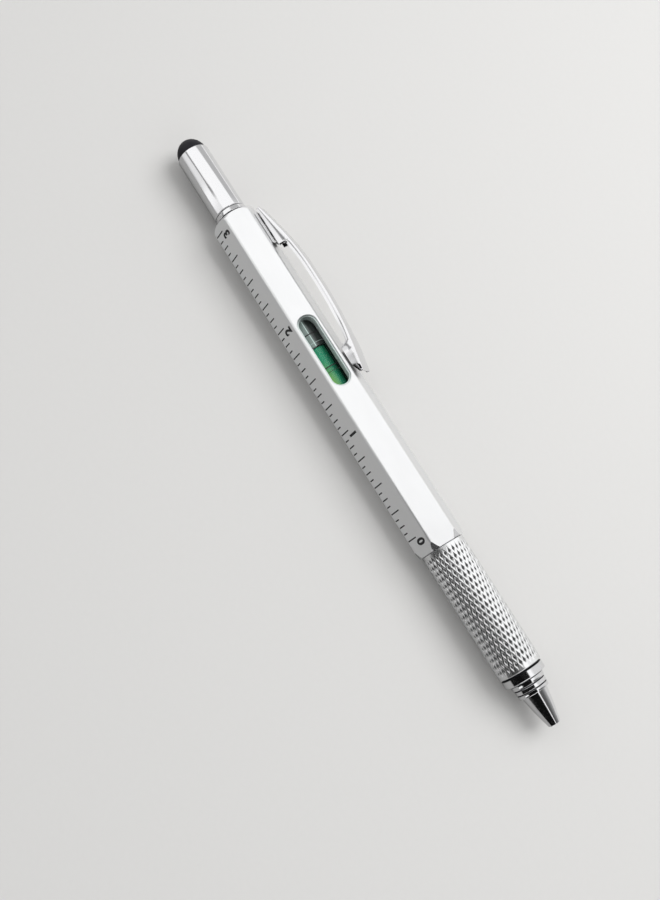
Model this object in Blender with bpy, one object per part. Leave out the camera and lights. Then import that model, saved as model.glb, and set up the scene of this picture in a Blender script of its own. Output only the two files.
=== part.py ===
"""A tool pen with a spirit level, ruler, stylus, screwdriver bit and twist ball-point.

Metres, +Z up. The pen lies along X with its writing tip towards +X. The flat with the
level window faces up, the clip is on the flat 60 degrees to its +Y side, and the ruler
flat is 60 degrees to its -Y side. The origin is on the bottom flat of the hexagonal
barrel, under the middle of the barrel's length. It is drawn as photographed: the
ball-point drawn in, the cap screwed on and the clip closed.
"""

import math

import bmesh
import bpy
from mathutils import Matrix, Vector

# Clearances
PRESS_GAP = 0.00005
RUN_GAP = 0.00007
SEAT_GAP = 0.0001
OVERRUN = 0.001
WELD_GAP = 0.0000005

# Hexagonal barrel
BARREL_LENGTH = 0.0825
ACROSS_FLATS = 0.0096
BARREL_WALL = 0.0013
BARREL_EDGE_RADIUS = 0.0006
REAR_END_RADIUS = 0.0042
REAR_CONE_LENGTH = 0.0022
FRONT_END_RADIUS = 0.00508
FRONT_CONE_LENGTH = 0.0023

# Level window and vial
WINDOW_FROM_REAR = 0.0364
WINDOW_LENGTH = 0.0171
WINDOW_WIDTH = 0.0044
CRADLE_WALL = 0.00065
CRADLE_END = 0.0018
CRADLE_LIP_HEIGHT = 0.0014
VIAL_LENGTH = 0.0176
VIAL_REAR_SHOW = 0.0009
VIAL_WALL = 0.0007
VIAL_END = 0.0012
VIAL_EDGE = 0.0003
VIAL_PLUG_LENGTH = 0.0012
BUBBLE_LENGTH = 0.0042
MENISCUS_SHARE = 0.25

# Screwdriver bit and its holder
BIT_ACROSS_FLATS = 0.004
BIT_LENGTH = 0.027
BIT_HEX_LENGTH = 0.017
BIT_NECK_RADIUS = 0.0015
BIT_EDGE = 0.0002
BLADE_LENGTH = 0.0032
BLADE_THICKNESS = 0.0006
CROSS_TIP_LENGTH = 0.0026
CROSS_TIP_RADIUS = 0.0005
CROSS_FLUTE_WIDTH = 0.0011
CROSS_RIB = 0.00045
BIT_GAP = 0.00005
HOLDER_DEPTH = 0.015
HOLDER_FLOOR = 0.0008
MAGNET_LENGTH = 0.0015
SPIGOT_LENGTH = 0.006
COLLAR_LENGTH = 0.0015
COLLAR_REAR_RADIUS = 0.00365
COLLAR_FRONT_RADIUS = 0.00395

# Cap and stylus
CAP_RADIUS = 0.00365
CAP_WALL = 0.00065
CAP_RIM_WALL = 0.00025
CAP_EDGE = 0.00018
BIT_END_CLEARANCE = 0.0008
STYLUS_PLUG_LENGTH = 0.0014
STYLUS_SKIRT = 0.00115
STYLUS_NECK_WIDTH_SHARE = 0.58
STYLUS_NECK_LENGTH_SHARE = 0.56
STYLUS_HEIGHT = 0.0037
STYLUS_WALL = 0.0008

# Clip
CLIP_FROM_REAR = 0.0018
CLIP_LENGTH = 0.0417
CLIP_BOW = 0.0042
CLIP_WIDTH = 0.0046
CLIP_SHEET = 0.0005
CLIP_LIP = 0.00015
CLIP_EDGE = 0.0003
CLIP_HEAD_LENGTH = 0.0098
CLIP_HEAD_STANDOFF = 0.0009
CLIP_FOOT_LENGTH = 0.0062
CLIP_FOOT_FLAT = 0.0032
CLIP_FOOT_STANDOFF = 0.0003
CLIP_FOOT_RISE = 0.0012
CLIP_SLANT = 0.0006
CLIP_SLANT_SHARES = (0.1, 0.3, 0.6, 1.0)
BASE_LENGTH = 0.0076
BASE_WIDTH = 0.0026
BASE_SHEET = 0.0005
BASE_INSET = 0.0005
RIVET_RADIUS = 0.0004
RIVET_HEAD_RADIUS = 0.0007
RIVET_HEAD_HEIGHT = 0.0002
RIVET_CROWN_SHARE = 0.9
RIVET_PITCH = 0.0036
# Half widths and heights of the clip along its length, of CLIP_WIDTH / 2 and CLIP_BOW
CLIP_WIDTH_SHARES = ((0.0, 0.6), (0.24, 0.62), (0.45, 0.6), (0.68, 0.62), (0.8, 0.75),
                     (0.87, 1.0), (0.93, 0.9), (1.0, 0.42))
CLIP_HEIGHT_SHARES = ((0.0, 0.42), (0.12, 0.67), (0.23, 0.86), (0.35, 0.98), (0.47, 1.0),
                      (0.6, 0.97), (0.73, 0.87), (0.85, 0.73), (0.92, 0.6), (1.0, 0.44))

# Twist mechanism
TRAVEL = 0.004
TWIST = math.radians(180)
CAM_TUBE_WALL = 0.0005
CAM_TUBE_MARGIN = 0.0018
GUIDE_TUBE_WALL = 0.00055
GUIDE_TUBE_INSET = 0.0055
PIN_RADIUS = 0.00045
PIN_GAP = 0.00008
PLUNGER_END_CLEARANCE = 0.0006
PLUNGER_TAIL = 0.0018
PLUNGER_WEB = 0.0011
PLUNGER_GRIP = 0.008
PLUNGER_EDGE = 0.0002
O_RING_SECTION = 0.0003
O_RING_FROM_FRONT = 0.003

# Refill
REFILL_RADIUS = 0.001175
REFILL_WALL = 0.0002
REFILL_SPIGOT = 0.002
REFILL_NECK_RADIUS = 0.0006
REFILL_NECK_LENGTH = 0.0032
REFILL_CONE_LENGTH = 0.0014
REFILL_SHOULDER = 0.001
BALL_RADIUS = 0.00035
BALL_GAP = 0.00002
BALL_SHOW = 0.00025
INK_SHARE = 0.7
POINT_INSET = 0.001

# Knurled grip and nose
GRIP_LENGTH = 0.0279
GRIP_CREST_RADIUS = 0.00467
GRIP_GROOVE_DEPTH = 0.0003
GRIP_COLUMNS = 30
GRIP_ROW_PITCH = 0.00136
GRIP_END_BAND = 0.0004
GRIP_WALL = 0.0011
NOSE_THREAD_LENGTH = 0.0065
NOSE_THREAD_WALL = 0.0009
NOSE_LENGTH = 0.0119
NOSE_RADIUS = 0.0045
NOSE_HOLE_GAP = 0.00008
NOSE_HOLE_LENGTH = 0.001
NOSE_INNER_CONE = 0.0012
# Rings and point of the nose, of NOSE_LENGTH and NOSE_RADIUS
NOSE_SHARES = (
    (0.0, 0.97), (0.02, 1.0), (0.105, 1.0), (0.125, 0.97), (0.14, 0.83), (0.155, 0.79),
    (0.235, 0.79), (0.25, 0.765), (0.25, 0.7), (0.27, 0.7), (0.27, 0.75), (0.305, 0.75),
    (0.305, 0.69), (0.325, 0.69), (0.325, 0.735), (0.385, 0.735), (0.415, 0.7),
    (0.415, 0.62), (0.6, 0.55), (0.76, 0.47), (0.87, 0.395), (0.94, 0.33), (0.985, 0.27),
    (1.0, 0.21),
)

# Facets round each turned piece, and steps along arcs, the cam slot and the clip
FINE_SIDES = 40
MIDDLE_SIDES = 28
SMALL_SIDES = 20
PIN_SIDES = 12
EDGE_STEPS = 3
END_STEPS = 5
DOME_STEPS = 6
WINDOW_STEPS = 12
SLOT_STEPS = 20
CLIP_HEAD_STEPS = 5
CLIP_STRAP_STEPS = 16
SMOOTH_ANGLE = math.radians(35)

HEX_ANGLE = math.radians(60)

# Levels and places worked out from the sizes above
axis_height = ACROSS_FLATS / 2
corner_radius = axis_height / math.cos(HEX_ANGLE / 2)
bore_radius = axis_height - BARREL_WALL
rear_x = -BARREL_LENGTH / 2
front_x = BARREL_LENGTH / 2

collar_front_x = rear_x - SEAT_GAP
collar_rear_x = collar_front_x - COLLAR_LENGTH
spigot_rear_x = collar_rear_x - SPIGOT_LENGTH
holder_front_x = rear_x + HOLDER_DEPTH
holder_radius = bore_radius - PRESS_GAP
socket_floor_x = holder_front_x - HOLDER_FLOOR
magnet_front_x = socket_floor_x - SEAT_GAP
magnet_rear_x = magnet_front_x - MAGNET_LENGTH
bit_front_x = magnet_rear_x - SEAT_GAP
bit_rear_x = bit_front_x - BIT_LENGTH

cap_front_x = collar_rear_x - SEAT_GAP
cap_bore = CAP_RADIUS - CAP_WALL
plug_front_x = bit_rear_x - BIT_END_CLEARANCE
plug_rear_x = plug_front_x - STYLUS_PLUG_LENGTH
cap_rear_x = plug_rear_x - STYLUS_SKIRT
stylus_radius = CAP_RADIUS - CAP_RIM_WALL - PRESS_GAP
stylus_hollow_radius = stylus_radius - STYLUS_WALL
stylus_hollow_depth = STYLUS_HEIGHT - STYLUS_WALL

window_x = rear_x + WINDOW_FROM_REAR
cradle_radius = bore_radius - PRESS_GAP
cradle_bore = cradle_radius - CRADLE_WALL
vial_radius = cradle_bore - SEAT_GAP
vial_bore = vial_radius - VIAL_WALL
vial_rear_x = window_x - WINDOW_LENGTH / 2 + VIAL_REAR_SHOW
vial_front_x = vial_rear_x + VIAL_LENGTH
cradle_rear_x = vial_rear_x - SEAT_GAP - CRADLE_END
cradle_front_x = vial_front_x + SEAT_GAP + CRADLE_END

cam_rear_x = cradle_front_x + CAM_TUBE_MARGIN
cam_front_x = front_x - SEAT_GAP
cam_radius = bore_radius - PRESS_GAP
cam_bore = cam_radius - CAM_TUBE_WALL
guide_radius = cam_bore - RUN_GAP
guide_bore = guide_radius - GUIDE_TUBE_WALL
plunger_radius = guide_bore - RUN_GAP
plunger_rear_x = cam_rear_x + PLUNGER_END_CLEARANCE
pin_x = plunger_rear_x + PLUNGER_TAIL
refill_rear_x = pin_x + PIN_RADIUS + PLUNGER_WEB
plunger_front_x = refill_rear_x + PLUNGER_GRIP
slot_half_width = PIN_RADIUS + PIN_GAP

grip_rear_x = front_x + SEAT_GAP
grip_front_x = grip_rear_x + GRIP_LENGTH
grip_groove_radius = GRIP_CREST_RADIUS - GRIP_GROOVE_DEPTH
grip_bore = grip_groove_radius - GRIP_WALL
guide_front_x = grip_rear_x + GUIDE_TUBE_INSET
nose_rear_x = grip_front_x + SEAT_GAP
nose_front_x = nose_rear_x + NOSE_LENGTH
thread_rear_x = nose_rear_x - NOSE_THREAD_LENGTH
thread_radius = grip_bore - PRESS_GAP
point_x = nose_front_x - POINT_INSET


def add_empty(name, location, parent=None, tilt=0.0):
    """An empty that stands on a joint's axis and carries the pieces that move on it."""
    empty = bpy.data.objects.new(name, None)
    empty.empty_display_size = ACROSS_FLATS
    empty.location = location
    empty.rotation_euler = (tilt, 0.0, 0.0)
    empty.parent = parent
    bpy.context.scene.collection.objects.link(empty)
    return empty


def make_material(name, colour, roughness, metallic, alpha=1.0):
    """A Principled material of one colour."""
    material = bpy.data.materials.new(name)
    material.use_nodes = True
    shader = material.node_tree.nodes["Principled BSDF"]
    shader.inputs["Base Color"].default_value = (*colour, 1.0)
    shader.inputs["Roughness"].default_value = roughness
    shader.inputs["Metallic"].default_value = metallic
    shader.inputs["Alpha"].default_value = alpha
    return material


def add_object(name, bm, material, parent, smooth=True):
    """Turns a finished bmesh into a named object with its material and parent."""
    bmesh.ops.recalc_face_normals(bm, faces=bm.faces)
    mesh = bpy.data.meshes.new(name)
    bm.to_mesh(mesh)
    bm.free()
    if smooth:
        mesh.shade_smooth()
        mesh.set_sharp_from_angle(angle=SMOOTH_ANGLE)
    if material is not None:
        mesh.materials.append(material)
    piece = bpy.data.objects.new(name, mesh)
    piece.parent = parent
    bpy.context.scene.collection.objects.link(piece)
    return piece


def make_cutter(piece):
    """Marks an object as a cutter, which is not part of the pen."""
    piece.hide_render = True
    piece.display_type = "WIRE"
    return piece


def apply_boolean(piece, tool, operation):
    """Adds an exact Boolean between a piece and a cutter."""
    modifier = piece.modifiers.new(tool.name, "BOOLEAN")
    modifier.operation = operation
    modifier.solver = "EXACT"
    modifier.object = tool


def spin_outline(outline, sides):
    """Spins a closed outline of (x, radius) points round X, leaving out its run on the axis."""
    bm = bmesh.new()
    verts = [bm.verts.new((x, 0.0, radius)) for x, radius in outline]
    edges = []
    for near, far in zip(verts, verts[1:] + verts[:1]):
        if near.co.z > 0.0 or far.co.z > 0.0:
            edges.append(bm.edges.new((near, far)))
    bmesh.ops.spin(bm, geom=verts + edges, axis=(1.0, 0.0, 0.0), cent=(0.0, 0.0, 0.0),
                   angle=2 * math.pi, steps=sides, use_merge=True)
    bmesh.ops.remove_doubles(bm, verts=bm.verts, dist=WELD_GAP)
    return bm


def turned(name, outline, sides, material, parent):
    """A piece turned round its own X axis."""
    return add_object(name, spin_outline(outline, sides), material, parent)


def tube_outline(rear, front, radius, bore):
    """The outline of a plain tube."""
    return [(rear, bore), (rear, radius), (front, radius), (front, bore)]


def rod_outline(rear, front, radius):
    """The outline of a plain rod."""
    return [(rear, 0.0), (rear, radius), (front, radius), (front, 0.0)]


def arc_outline(centre, reach, start, stop, steps):
    """Points of an ellipse's arc about centre, as (x, radius), from one angle to another."""
    points = []
    for step in range(steps + 1):
        angle = start + (stop - start) * step / steps
        points.append((centre[0] + reach[0] * math.cos(angle),
                       centre[1] + reach[1] * math.sin(angle)))
    return points


def hexagon_prism(rear, front, across, edge_radius=0.0):
    """A hexagonal bar along X with a flat facing up, its long edges rounded."""
    bm = bmesh.new()
    corner = across / 2 / math.cos(HEX_ANGLE / 2)
    angles = [HEX_ANGLE * (index + 0.5) for index in range(6)]
    face = bm.faces.new([bm.verts.new((rear, corner * math.sin(a), corner * math.cos(a)))
                         for a in angles])
    swept = bmesh.ops.extrude_face_region(bm, geom=[face])["geom"]
    moved = [item for item in swept if isinstance(item, bmesh.types.BMVert)]
    bmesh.ops.translate(bm, verts=moved, vec=(front - rear, 0.0, 0.0))
    if edge_radius:
        long_edges = [edge for edge in bm.edges
                      if abs(edge.verts[0].co.x - edge.verts[1].co.x) > (front - rear) / 2]
        bmesh.ops.bevel(bm, geom=long_edges, offset=edge_radius * math.tan(HEX_ANGLE / 2),
                        offset_type="OFFSET", segments=3, profile=0.5, affect="EDGES")
    return bm


def stadium_prism(centre_x, length, width, low, high):
    """An upright prism with round ends, for the level window."""
    bm = bmesh.new()
    half = width / 2
    reach = length / 2 - half
    outline = []
    for side in (1, -1):
        for step in range(WINDOW_STEPS + 1):
            angle = math.pi * (step / WINDOW_STEPS - 0.5)
            outline.append((centre_x + side * (reach + half * math.cos(angle)),
                            side * half * math.sin(angle)))
    face = bm.faces.new([bm.verts.new((x, y, low)) for x, y in outline])
    swept = bmesh.ops.extrude_face_region(bm, geom=[face])["geom"]
    moved = [item for item in swept if isinstance(item, bmesh.types.BMVert)]
    bmesh.ops.translate(bm, verts=moved, vec=(0.0, 0.0, high - low))
    return bm


def box(low, high):
    """A block between two corners."""
    bm = bmesh.new()
    size = Vector(high) - Vector(low)
    middle = (Vector(high) + Vector(low)) / 2
    place = Matrix.Translation(middle) @ Matrix.Diagonal((*size, 1.0))
    bmesh.ops.create_cube(bm, size=1.0, matrix=place)
    return bm


def loft(sections):
    """Skins a row of closed sections with the same number of points and caps both ends."""
    bm = bmesh.new()
    rings = [[bm.verts.new(point) for point in section] for section in sections]
    count = len(rings[0])
    for near, far in zip(rings, rings[1:]):
        for index in range(count):
            after = (index + 1) % count
            bm.faces.new((near[index], near[after], far[after], far[index]))
    bm.faces.new(rings[0][::-1])
    bm.faces.new(rings[-1])
    return bm


def smooth_share(shares, place):
    """Reads a smooth curve through a table of (place, share) points, without overshoot."""
    if place <= shares[0][0]:
        return shares[0][1]
    for index in range(len(shares) - 1):
        start, start_share = shares[index]
        stop, stop_share = shares[index + 1]
        if place <= stop:
            break
    else:
        return shares[-1][1]
    before = shares[max(index - 1, 0)]
    after = shares[min(index + 2, len(shares) - 1)]
    span = stop - start
    slope_in = (stop_share - before[1]) / (stop - before[0]) * span
    slope_out = (after[1] - start_share) / (after[0] - start) * span
    t = (place - start) / span
    return ((2 * t**3 - 3 * t**2 + 1) * start_share + (t**3 - 2 * t**2 + t) * slope_in
            + (3 * t**2 - 2 * t**3) * stop_share + (t**3 - t**2) * slope_out)


def build_barrel(material, parent, rivet_places, clip_frame):
    """The hexagonal bar, with turned ends, a bore, the level window and two rivet holes."""
    bar = hexagon_prism(rear_x - OVERRUN, front_x + OVERRUN, ACROSS_FLATS, BARREL_EDGE_RADIUS)
    barrel = add_object("hex_barrel", bar, material, parent)
    full = corner_radius + PRESS_GAP
    rear_arc = arc_outline((rear_x + REAR_CONE_LENGTH, REAR_END_RADIUS),
                           (REAR_CONE_LENGTH, full - REAR_END_RADIUS), math.pi, math.pi / 2,
                           END_STEPS)
    front_arc = arc_outline((front_x - FRONT_CONE_LENGTH, FRONT_END_RADIUS),
                            (FRONT_CONE_LENGTH, full - FRONT_END_RADIUS), math.pi / 2, 0.0,
                            END_STEPS)
    ends = turned("barrel_ends_cutter", [(rear_x, 0.0)] + rear_arc + front_arc + [(front_x, 0.0)],
                  FINE_SIDES, None, parent)
    bore = turned("barrel_bore_cutter",
                  rod_outline(rear_x - OVERRUN, front_x + OVERRUN, bore_radius),
                  FINE_SIDES, None, parent)
    window = add_object("window_cutter",
                        stadium_prism(window_x, WINDOW_LENGTH, WINDOW_WIDTH,
                                      bore_radius / 2, axis_height + OVERRUN), None, parent)
    apply_boolean(barrel, make_cutter(window), "DIFFERENCE")
    for number, place in enumerate(rivet_places, 1):
        outline = rod_outline(0.0, axis_height + OVERRUN, RIVET_RADIUS + PRESS_GAP)
        hole = upright(f"rivet_hole_cutter_{number}", place, outline, None, clip_frame)
        apply_boolean(barrel, make_cutter(hole), "DIFFERENCE")
    apply_boolean(barrel, make_cutter(ends), "INTERSECT")
    apply_boolean(barrel, make_cutter(bore), "DIFFERENCE")


def upright(name, x, outline, material, parent):
    """A small turned piece that stands along its parent's Z axis."""
    bm = spin_outline(outline, PIN_SIDES)
    bmesh.ops.rotate(bm, verts=bm.verts, cent=(0.0, 0.0, 0.0),
                     matrix=Matrix.Rotation(-math.pi / 2, 3, "Y"))
    bmesh.ops.translate(bm, verts=bm.verts, vec=(x, 0.0, 0.0))
    return add_object(name, bm, material, parent)


def build_level(materials, parent):
    """The vial with its plug and liquid, lying in an open cradle."""
    cradle = turned("vial_cradle", rod_outline(cradle_rear_x, cradle_front_x, cradle_radius),
                    FINE_SIDES, materials["white_plastic"], parent)
    hollow = turned("cradle_hollow_cutter",
                    rod_outline(vial_rear_x - SEAT_GAP, vial_front_x + SEAT_GAP, cradle_bore),
                    FINE_SIDES, None, parent)
    mouth = add_object("cradle_mouth_cutter",
                       box((vial_rear_x - SEAT_GAP, -axis_height, CRADLE_LIP_HEIGHT),
                           (vial_front_x + SEAT_GAP, axis_height, axis_height)), None, parent)
    apply_boolean(cradle, make_cutter(hollow), "DIFFERENCE")
    apply_boolean(cradle, make_cutter(mouth), "DIFFERENCE")

    edge = VIAL_EDGE
    turned("vial_tube",
           [(vial_rear_x, vial_bore), (vial_rear_x, vial_radius - edge),
            (vial_rear_x + edge, vial_radius), (vial_front_x - edge, vial_radius),
            (vial_front_x, vial_radius - edge), (vial_front_x, 0.0),
            (vial_front_x - VIAL_END, 0.0), (vial_front_x - VIAL_END, vial_bore)],
           MIDDLE_SIDES, materials["clear_acrylic"], parent)
    inner = vial_bore - PRESS_GAP
    plug_rear = vial_rear_x + edge
    plug_front = plug_rear + VIAL_PLUG_LENGTH
    turned("vial_plug", rod_outline(plug_rear, plug_front, inner), MIDDLE_SIDES,
           materials["white_plastic"], parent)
    liquid_rear = plug_front + BUBBLE_LENGTH
    liquid_front = vial_front_x - VIAL_END - SEAT_GAP
    meniscus = arc_outline((liquid_rear, 0.0), (inner * MENISCUS_SHARE, inner), 0.0, math.pi / 2,
                           EDGE_STEPS)
    turned("vial_liquid", meniscus + [(liquid_front, inner), (liquid_front, 0.0)],
           MIDDLE_SIDES, materials["green_liquid"], parent)


def build_bit_holder(materials, parent):
    """The turned holder pressed into the barrel, with its hexagonal socket and magnet."""
    spigot_radius = cap_bore - RUN_GAP
    outline = [
        (spigot_rear_x, 0.0), (spigot_rear_x, spigot_radius - BIT_EDGE),
        (spigot_rear_x + BIT_EDGE, spigot_radius), (collar_rear_x, spigot_radius),
        (collar_rear_x, COLLAR_REAR_RADIUS - BIT_EDGE),
        (collar_rear_x + BIT_EDGE, COLLAR_REAR_RADIUS),
        (collar_front_x - BIT_EDGE, COLLAR_FRONT_RADIUS),
        (collar_front_x, COLLAR_FRONT_RADIUS - BIT_EDGE), (collar_front_x, holder_radius),
        (holder_front_x, holder_radius), (holder_front_x, 0.0),
    ]
    holder = turned("bit_holder", outline, FINE_SIDES, materials["chrome"], parent)
    socket = add_object("bit_socket_cutter",
                        hexagon_prism(spigot_rear_x - OVERRUN, socket_floor_x,
                                      BIT_ACROSS_FLATS + 2 * BIT_GAP), None, parent)
    apply_boolean(holder, make_cutter(socket), "DIFFERENCE")
    turned("bit_magnet", rod_outline(magnet_rear_x, magnet_front_x, BIT_ACROSS_FLATS / 2 - PRESS_GAP),
           SMALL_SIDES, materials["steel"], parent)


def build_bit(material, parent):
    """The double-ended screwdriver bit: a slotted blade inside, a cross tip at the rear."""
    middle = (bit_rear_x + bit_front_x) / 2
    hex_rear = middle - BIT_HEX_LENGTH / 2
    hex_front = middle + BIT_HEX_LENGTH / 2
    bit = add_object("screwdriver_bit", hexagon_prism(hex_rear, hex_front, BIT_ACROSS_FLATS),
                     material, parent, smooth=False)
    core = turned("bit_neck_tool",
                  [(bit_rear_x, 0.0), (bit_rear_x, CROSS_TIP_RADIUS),
                   (bit_rear_x + CROSS_TIP_LENGTH, BIT_NECK_RADIUS),
                   (bit_front_x - BIT_EDGE, BIT_NECK_RADIUS),
                   (bit_front_x, BIT_NECK_RADIUS - BIT_EDGE), (bit_front_x, 0.0)],
                  SMALL_SIDES, None, parent)
    slim = BIT_NECK_RADIUS + BIT_EDGE
    slope = BIT_NECK_RADIUS / 2
    chamfer = turned("bit_chamfer_tool",
                     [(bit_rear_x - OVERRUN, 0.0), (bit_rear_x - OVERRUN, slim), (hex_rear, slim),
                      (hex_rear + slope, BIT_ACROSS_FLATS), (hex_front - slope, BIT_ACROSS_FLATS),
                      (hex_front, slim), (bit_front_x + OVERRUN, slim), (bit_front_x + OVERRUN, 0.0)],
                     SMALL_SIDES, None, parent)
    apply_boolean(bit, make_cutter(core), "UNION")
    apply_boolean(bit, make_cutter(chamfer), "INTERSECT")
    wide = BIT_ACROSS_FLATS
    for number, side in ((1, 1), (2, -1)):
        wedge = loft([
            [(x, -wide, side * inner), (x, wide, side * inner),
             (x, wide, side * wide), (x, -wide, side * wide)]
            for x, inner in ((bit_front_x - BLADE_LENGTH, BIT_NECK_RADIUS),
                             (bit_front_x + OVERRUN, BLADE_THICKNESS / 2))
        ])
        cutter = add_object(f"blade_cutter_{number}", wedge, None, parent, smooth=False)
        apply_boolean(bit, make_cutter(cutter), "DIFFERENCE")
    for quarter in range(4):
        turn = Matrix.Rotation(math.radians(45 + 90 * quarter), 3, "X")
        flute = loft([
            [turn @ Vector(point) for point in (
                (x, 0.0, depth), (x, CROSS_FLUTE_WIDTH, depth + CROSS_FLUTE_WIDTH),
                (x, 0.0, depth + wide), (x, -CROSS_FLUTE_WIDTH, depth + CROSS_FLUTE_WIDTH))]
            for x, depth in ((bit_rear_x - OVERRUN, CROSS_RIB / 2),
                             (bit_rear_x + CROSS_TIP_LENGTH, BIT_NECK_RADIUS))
        ])
        cutter = add_object(f"flute_cutter_{quarter + 1}", flute, None, parent, smooth=False)
        apply_boolean(bit, make_cutter(cutter), "DIFFERENCE")


def build_cap(materials, parent):
    """The chrome cap sleeve with the stylus plug and its hollow rubber tip."""
    edge = CAP_EDGE
    rim_bore = CAP_RADIUS - CAP_RIM_WALL
    rim_arc = arc_outline((cap_rear_x + edge, CAP_RADIUS - edge), (edge, edge),
                          math.pi, math.pi / 2, EDGE_STEPS)
    turned("cap_sleeve",
           [(cap_rear_x, rim_bore)] + rim_arc
           + [(cap_front_x - edge / 2, CAP_RADIUS), (cap_front_x, CAP_RADIUS - edge / 2),
              (cap_front_x, cap_bore), (plug_rear_x, cap_bore), (plug_rear_x, rim_bore)],
           FINE_SIDES, materials["chrome"], parent)
    neck_rear = cap_rear_x - stylus_hollow_depth * STYLUS_NECK_LENGTH_SHARE
    neck_radius = stylus_hollow_radius * STYLUS_NECK_WIDTH_SHARE
    skirt_x = plug_rear_x - SEAT_GAP
    plug_radius = cap_bore - PRESS_GAP
    turned("stylus_plug",
           [(plug_front_x, 0.0), (plug_front_x, plug_radius), (plug_rear_x, plug_radius),
            (plug_rear_x, neck_radius), (neck_rear, neck_radius), (neck_rear, 0.0)],
           SMALL_SIDES, materials["steel"], parent)
    dome = arc_outline((cap_rear_x, 0.0), (-STYLUS_HEIGHT, stylus_radius), math.pi / 2, 0.0,
                       DOME_STEPS)
    hollow = arc_outline((cap_rear_x, 0.0), (-stylus_hollow_depth, stylus_hollow_radius),
                         0.0, math.pi / 2, END_STEPS)
    lip = neck_radius + PRESS_GAP
    turned("stylus_tip",
           [(skirt_x, lip), (skirt_x, stylus_radius)] + dome + hollow + [(cap_rear_x, lip)],
           MIDDLE_SIDES, materials["black_rubber"], parent)


def clip_section(x, share, low, inset):
    """One closed section of the clip's outside, its outer corners rounded."""
    half = smooth_share(CLIP_WIDTH_SHARES, share) * CLIP_WIDTH / 2 - inset
    top = smooth_share(CLIP_HEIGHT_SHARES, share) * CLIP_BOW - inset
    round_off = CLIP_EDGE if inset == 0.0 else PRESS_GAP
    points = [(x, -half, low)]
    for side, start in ((-1, math.pi), (1, math.pi / 2)):
        for step in range(EDGE_STEPS + 1):
            angle = start - math.pi / 2 * step / EDGE_STEPS
            points.append((x, side * (half - round_off) + round_off * math.cos(angle),
                           top - round_off + round_off * math.sin(angle)))
    points.append((x, half, low))
    return points


def spread(start, stop, steps):
    """Evenly spaced places after start, up to and with stop."""
    return [start + (stop - start) * step / steps for step in range(1, steps + 1)]


def clip_underside(share):
    """The height of the clip's lower edge: a deep head, a thin bowed strap and a deep foot."""
    x = share * CLIP_LENGTH
    strap = smooth_share(CLIP_HEIGHT_SHARES, share) * CLIP_BOW - CLIP_SHEET - CLIP_LIP
    foot_x = CLIP_LENGTH - CLIP_FOOT_LENGTH
    if x <= CLIP_HEAD_LENGTH:
        return CLIP_HEAD_STANDOFF
    if x < CLIP_HEAD_LENGTH + CLIP_SLANT:
        rise = (x - CLIP_HEAD_LENGTH) / CLIP_SLANT
        return CLIP_HEAD_STANDOFF + (strap - CLIP_HEAD_STANDOFF) * math.sqrt(rise * (2 - rise))
    if x <= foot_x - CLIP_SLANT:
        return strap
    if x < foot_x:
        fall = (x - foot_x + CLIP_SLANT) / CLIP_SLANT
        return strap + (CLIP_FOOT_STANDOFF - strap) * fall
    if x <= foot_x + CLIP_FOOT_FLAT:
        return CLIP_FOOT_STANDOFF
    tail = (x - foot_x - CLIP_FOOT_FLAT) / (CLIP_FOOT_LENGTH - CLIP_FOOT_FLAT)
    return CLIP_FOOT_STANDOFF + CLIP_FOOT_RISE * tail


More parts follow.
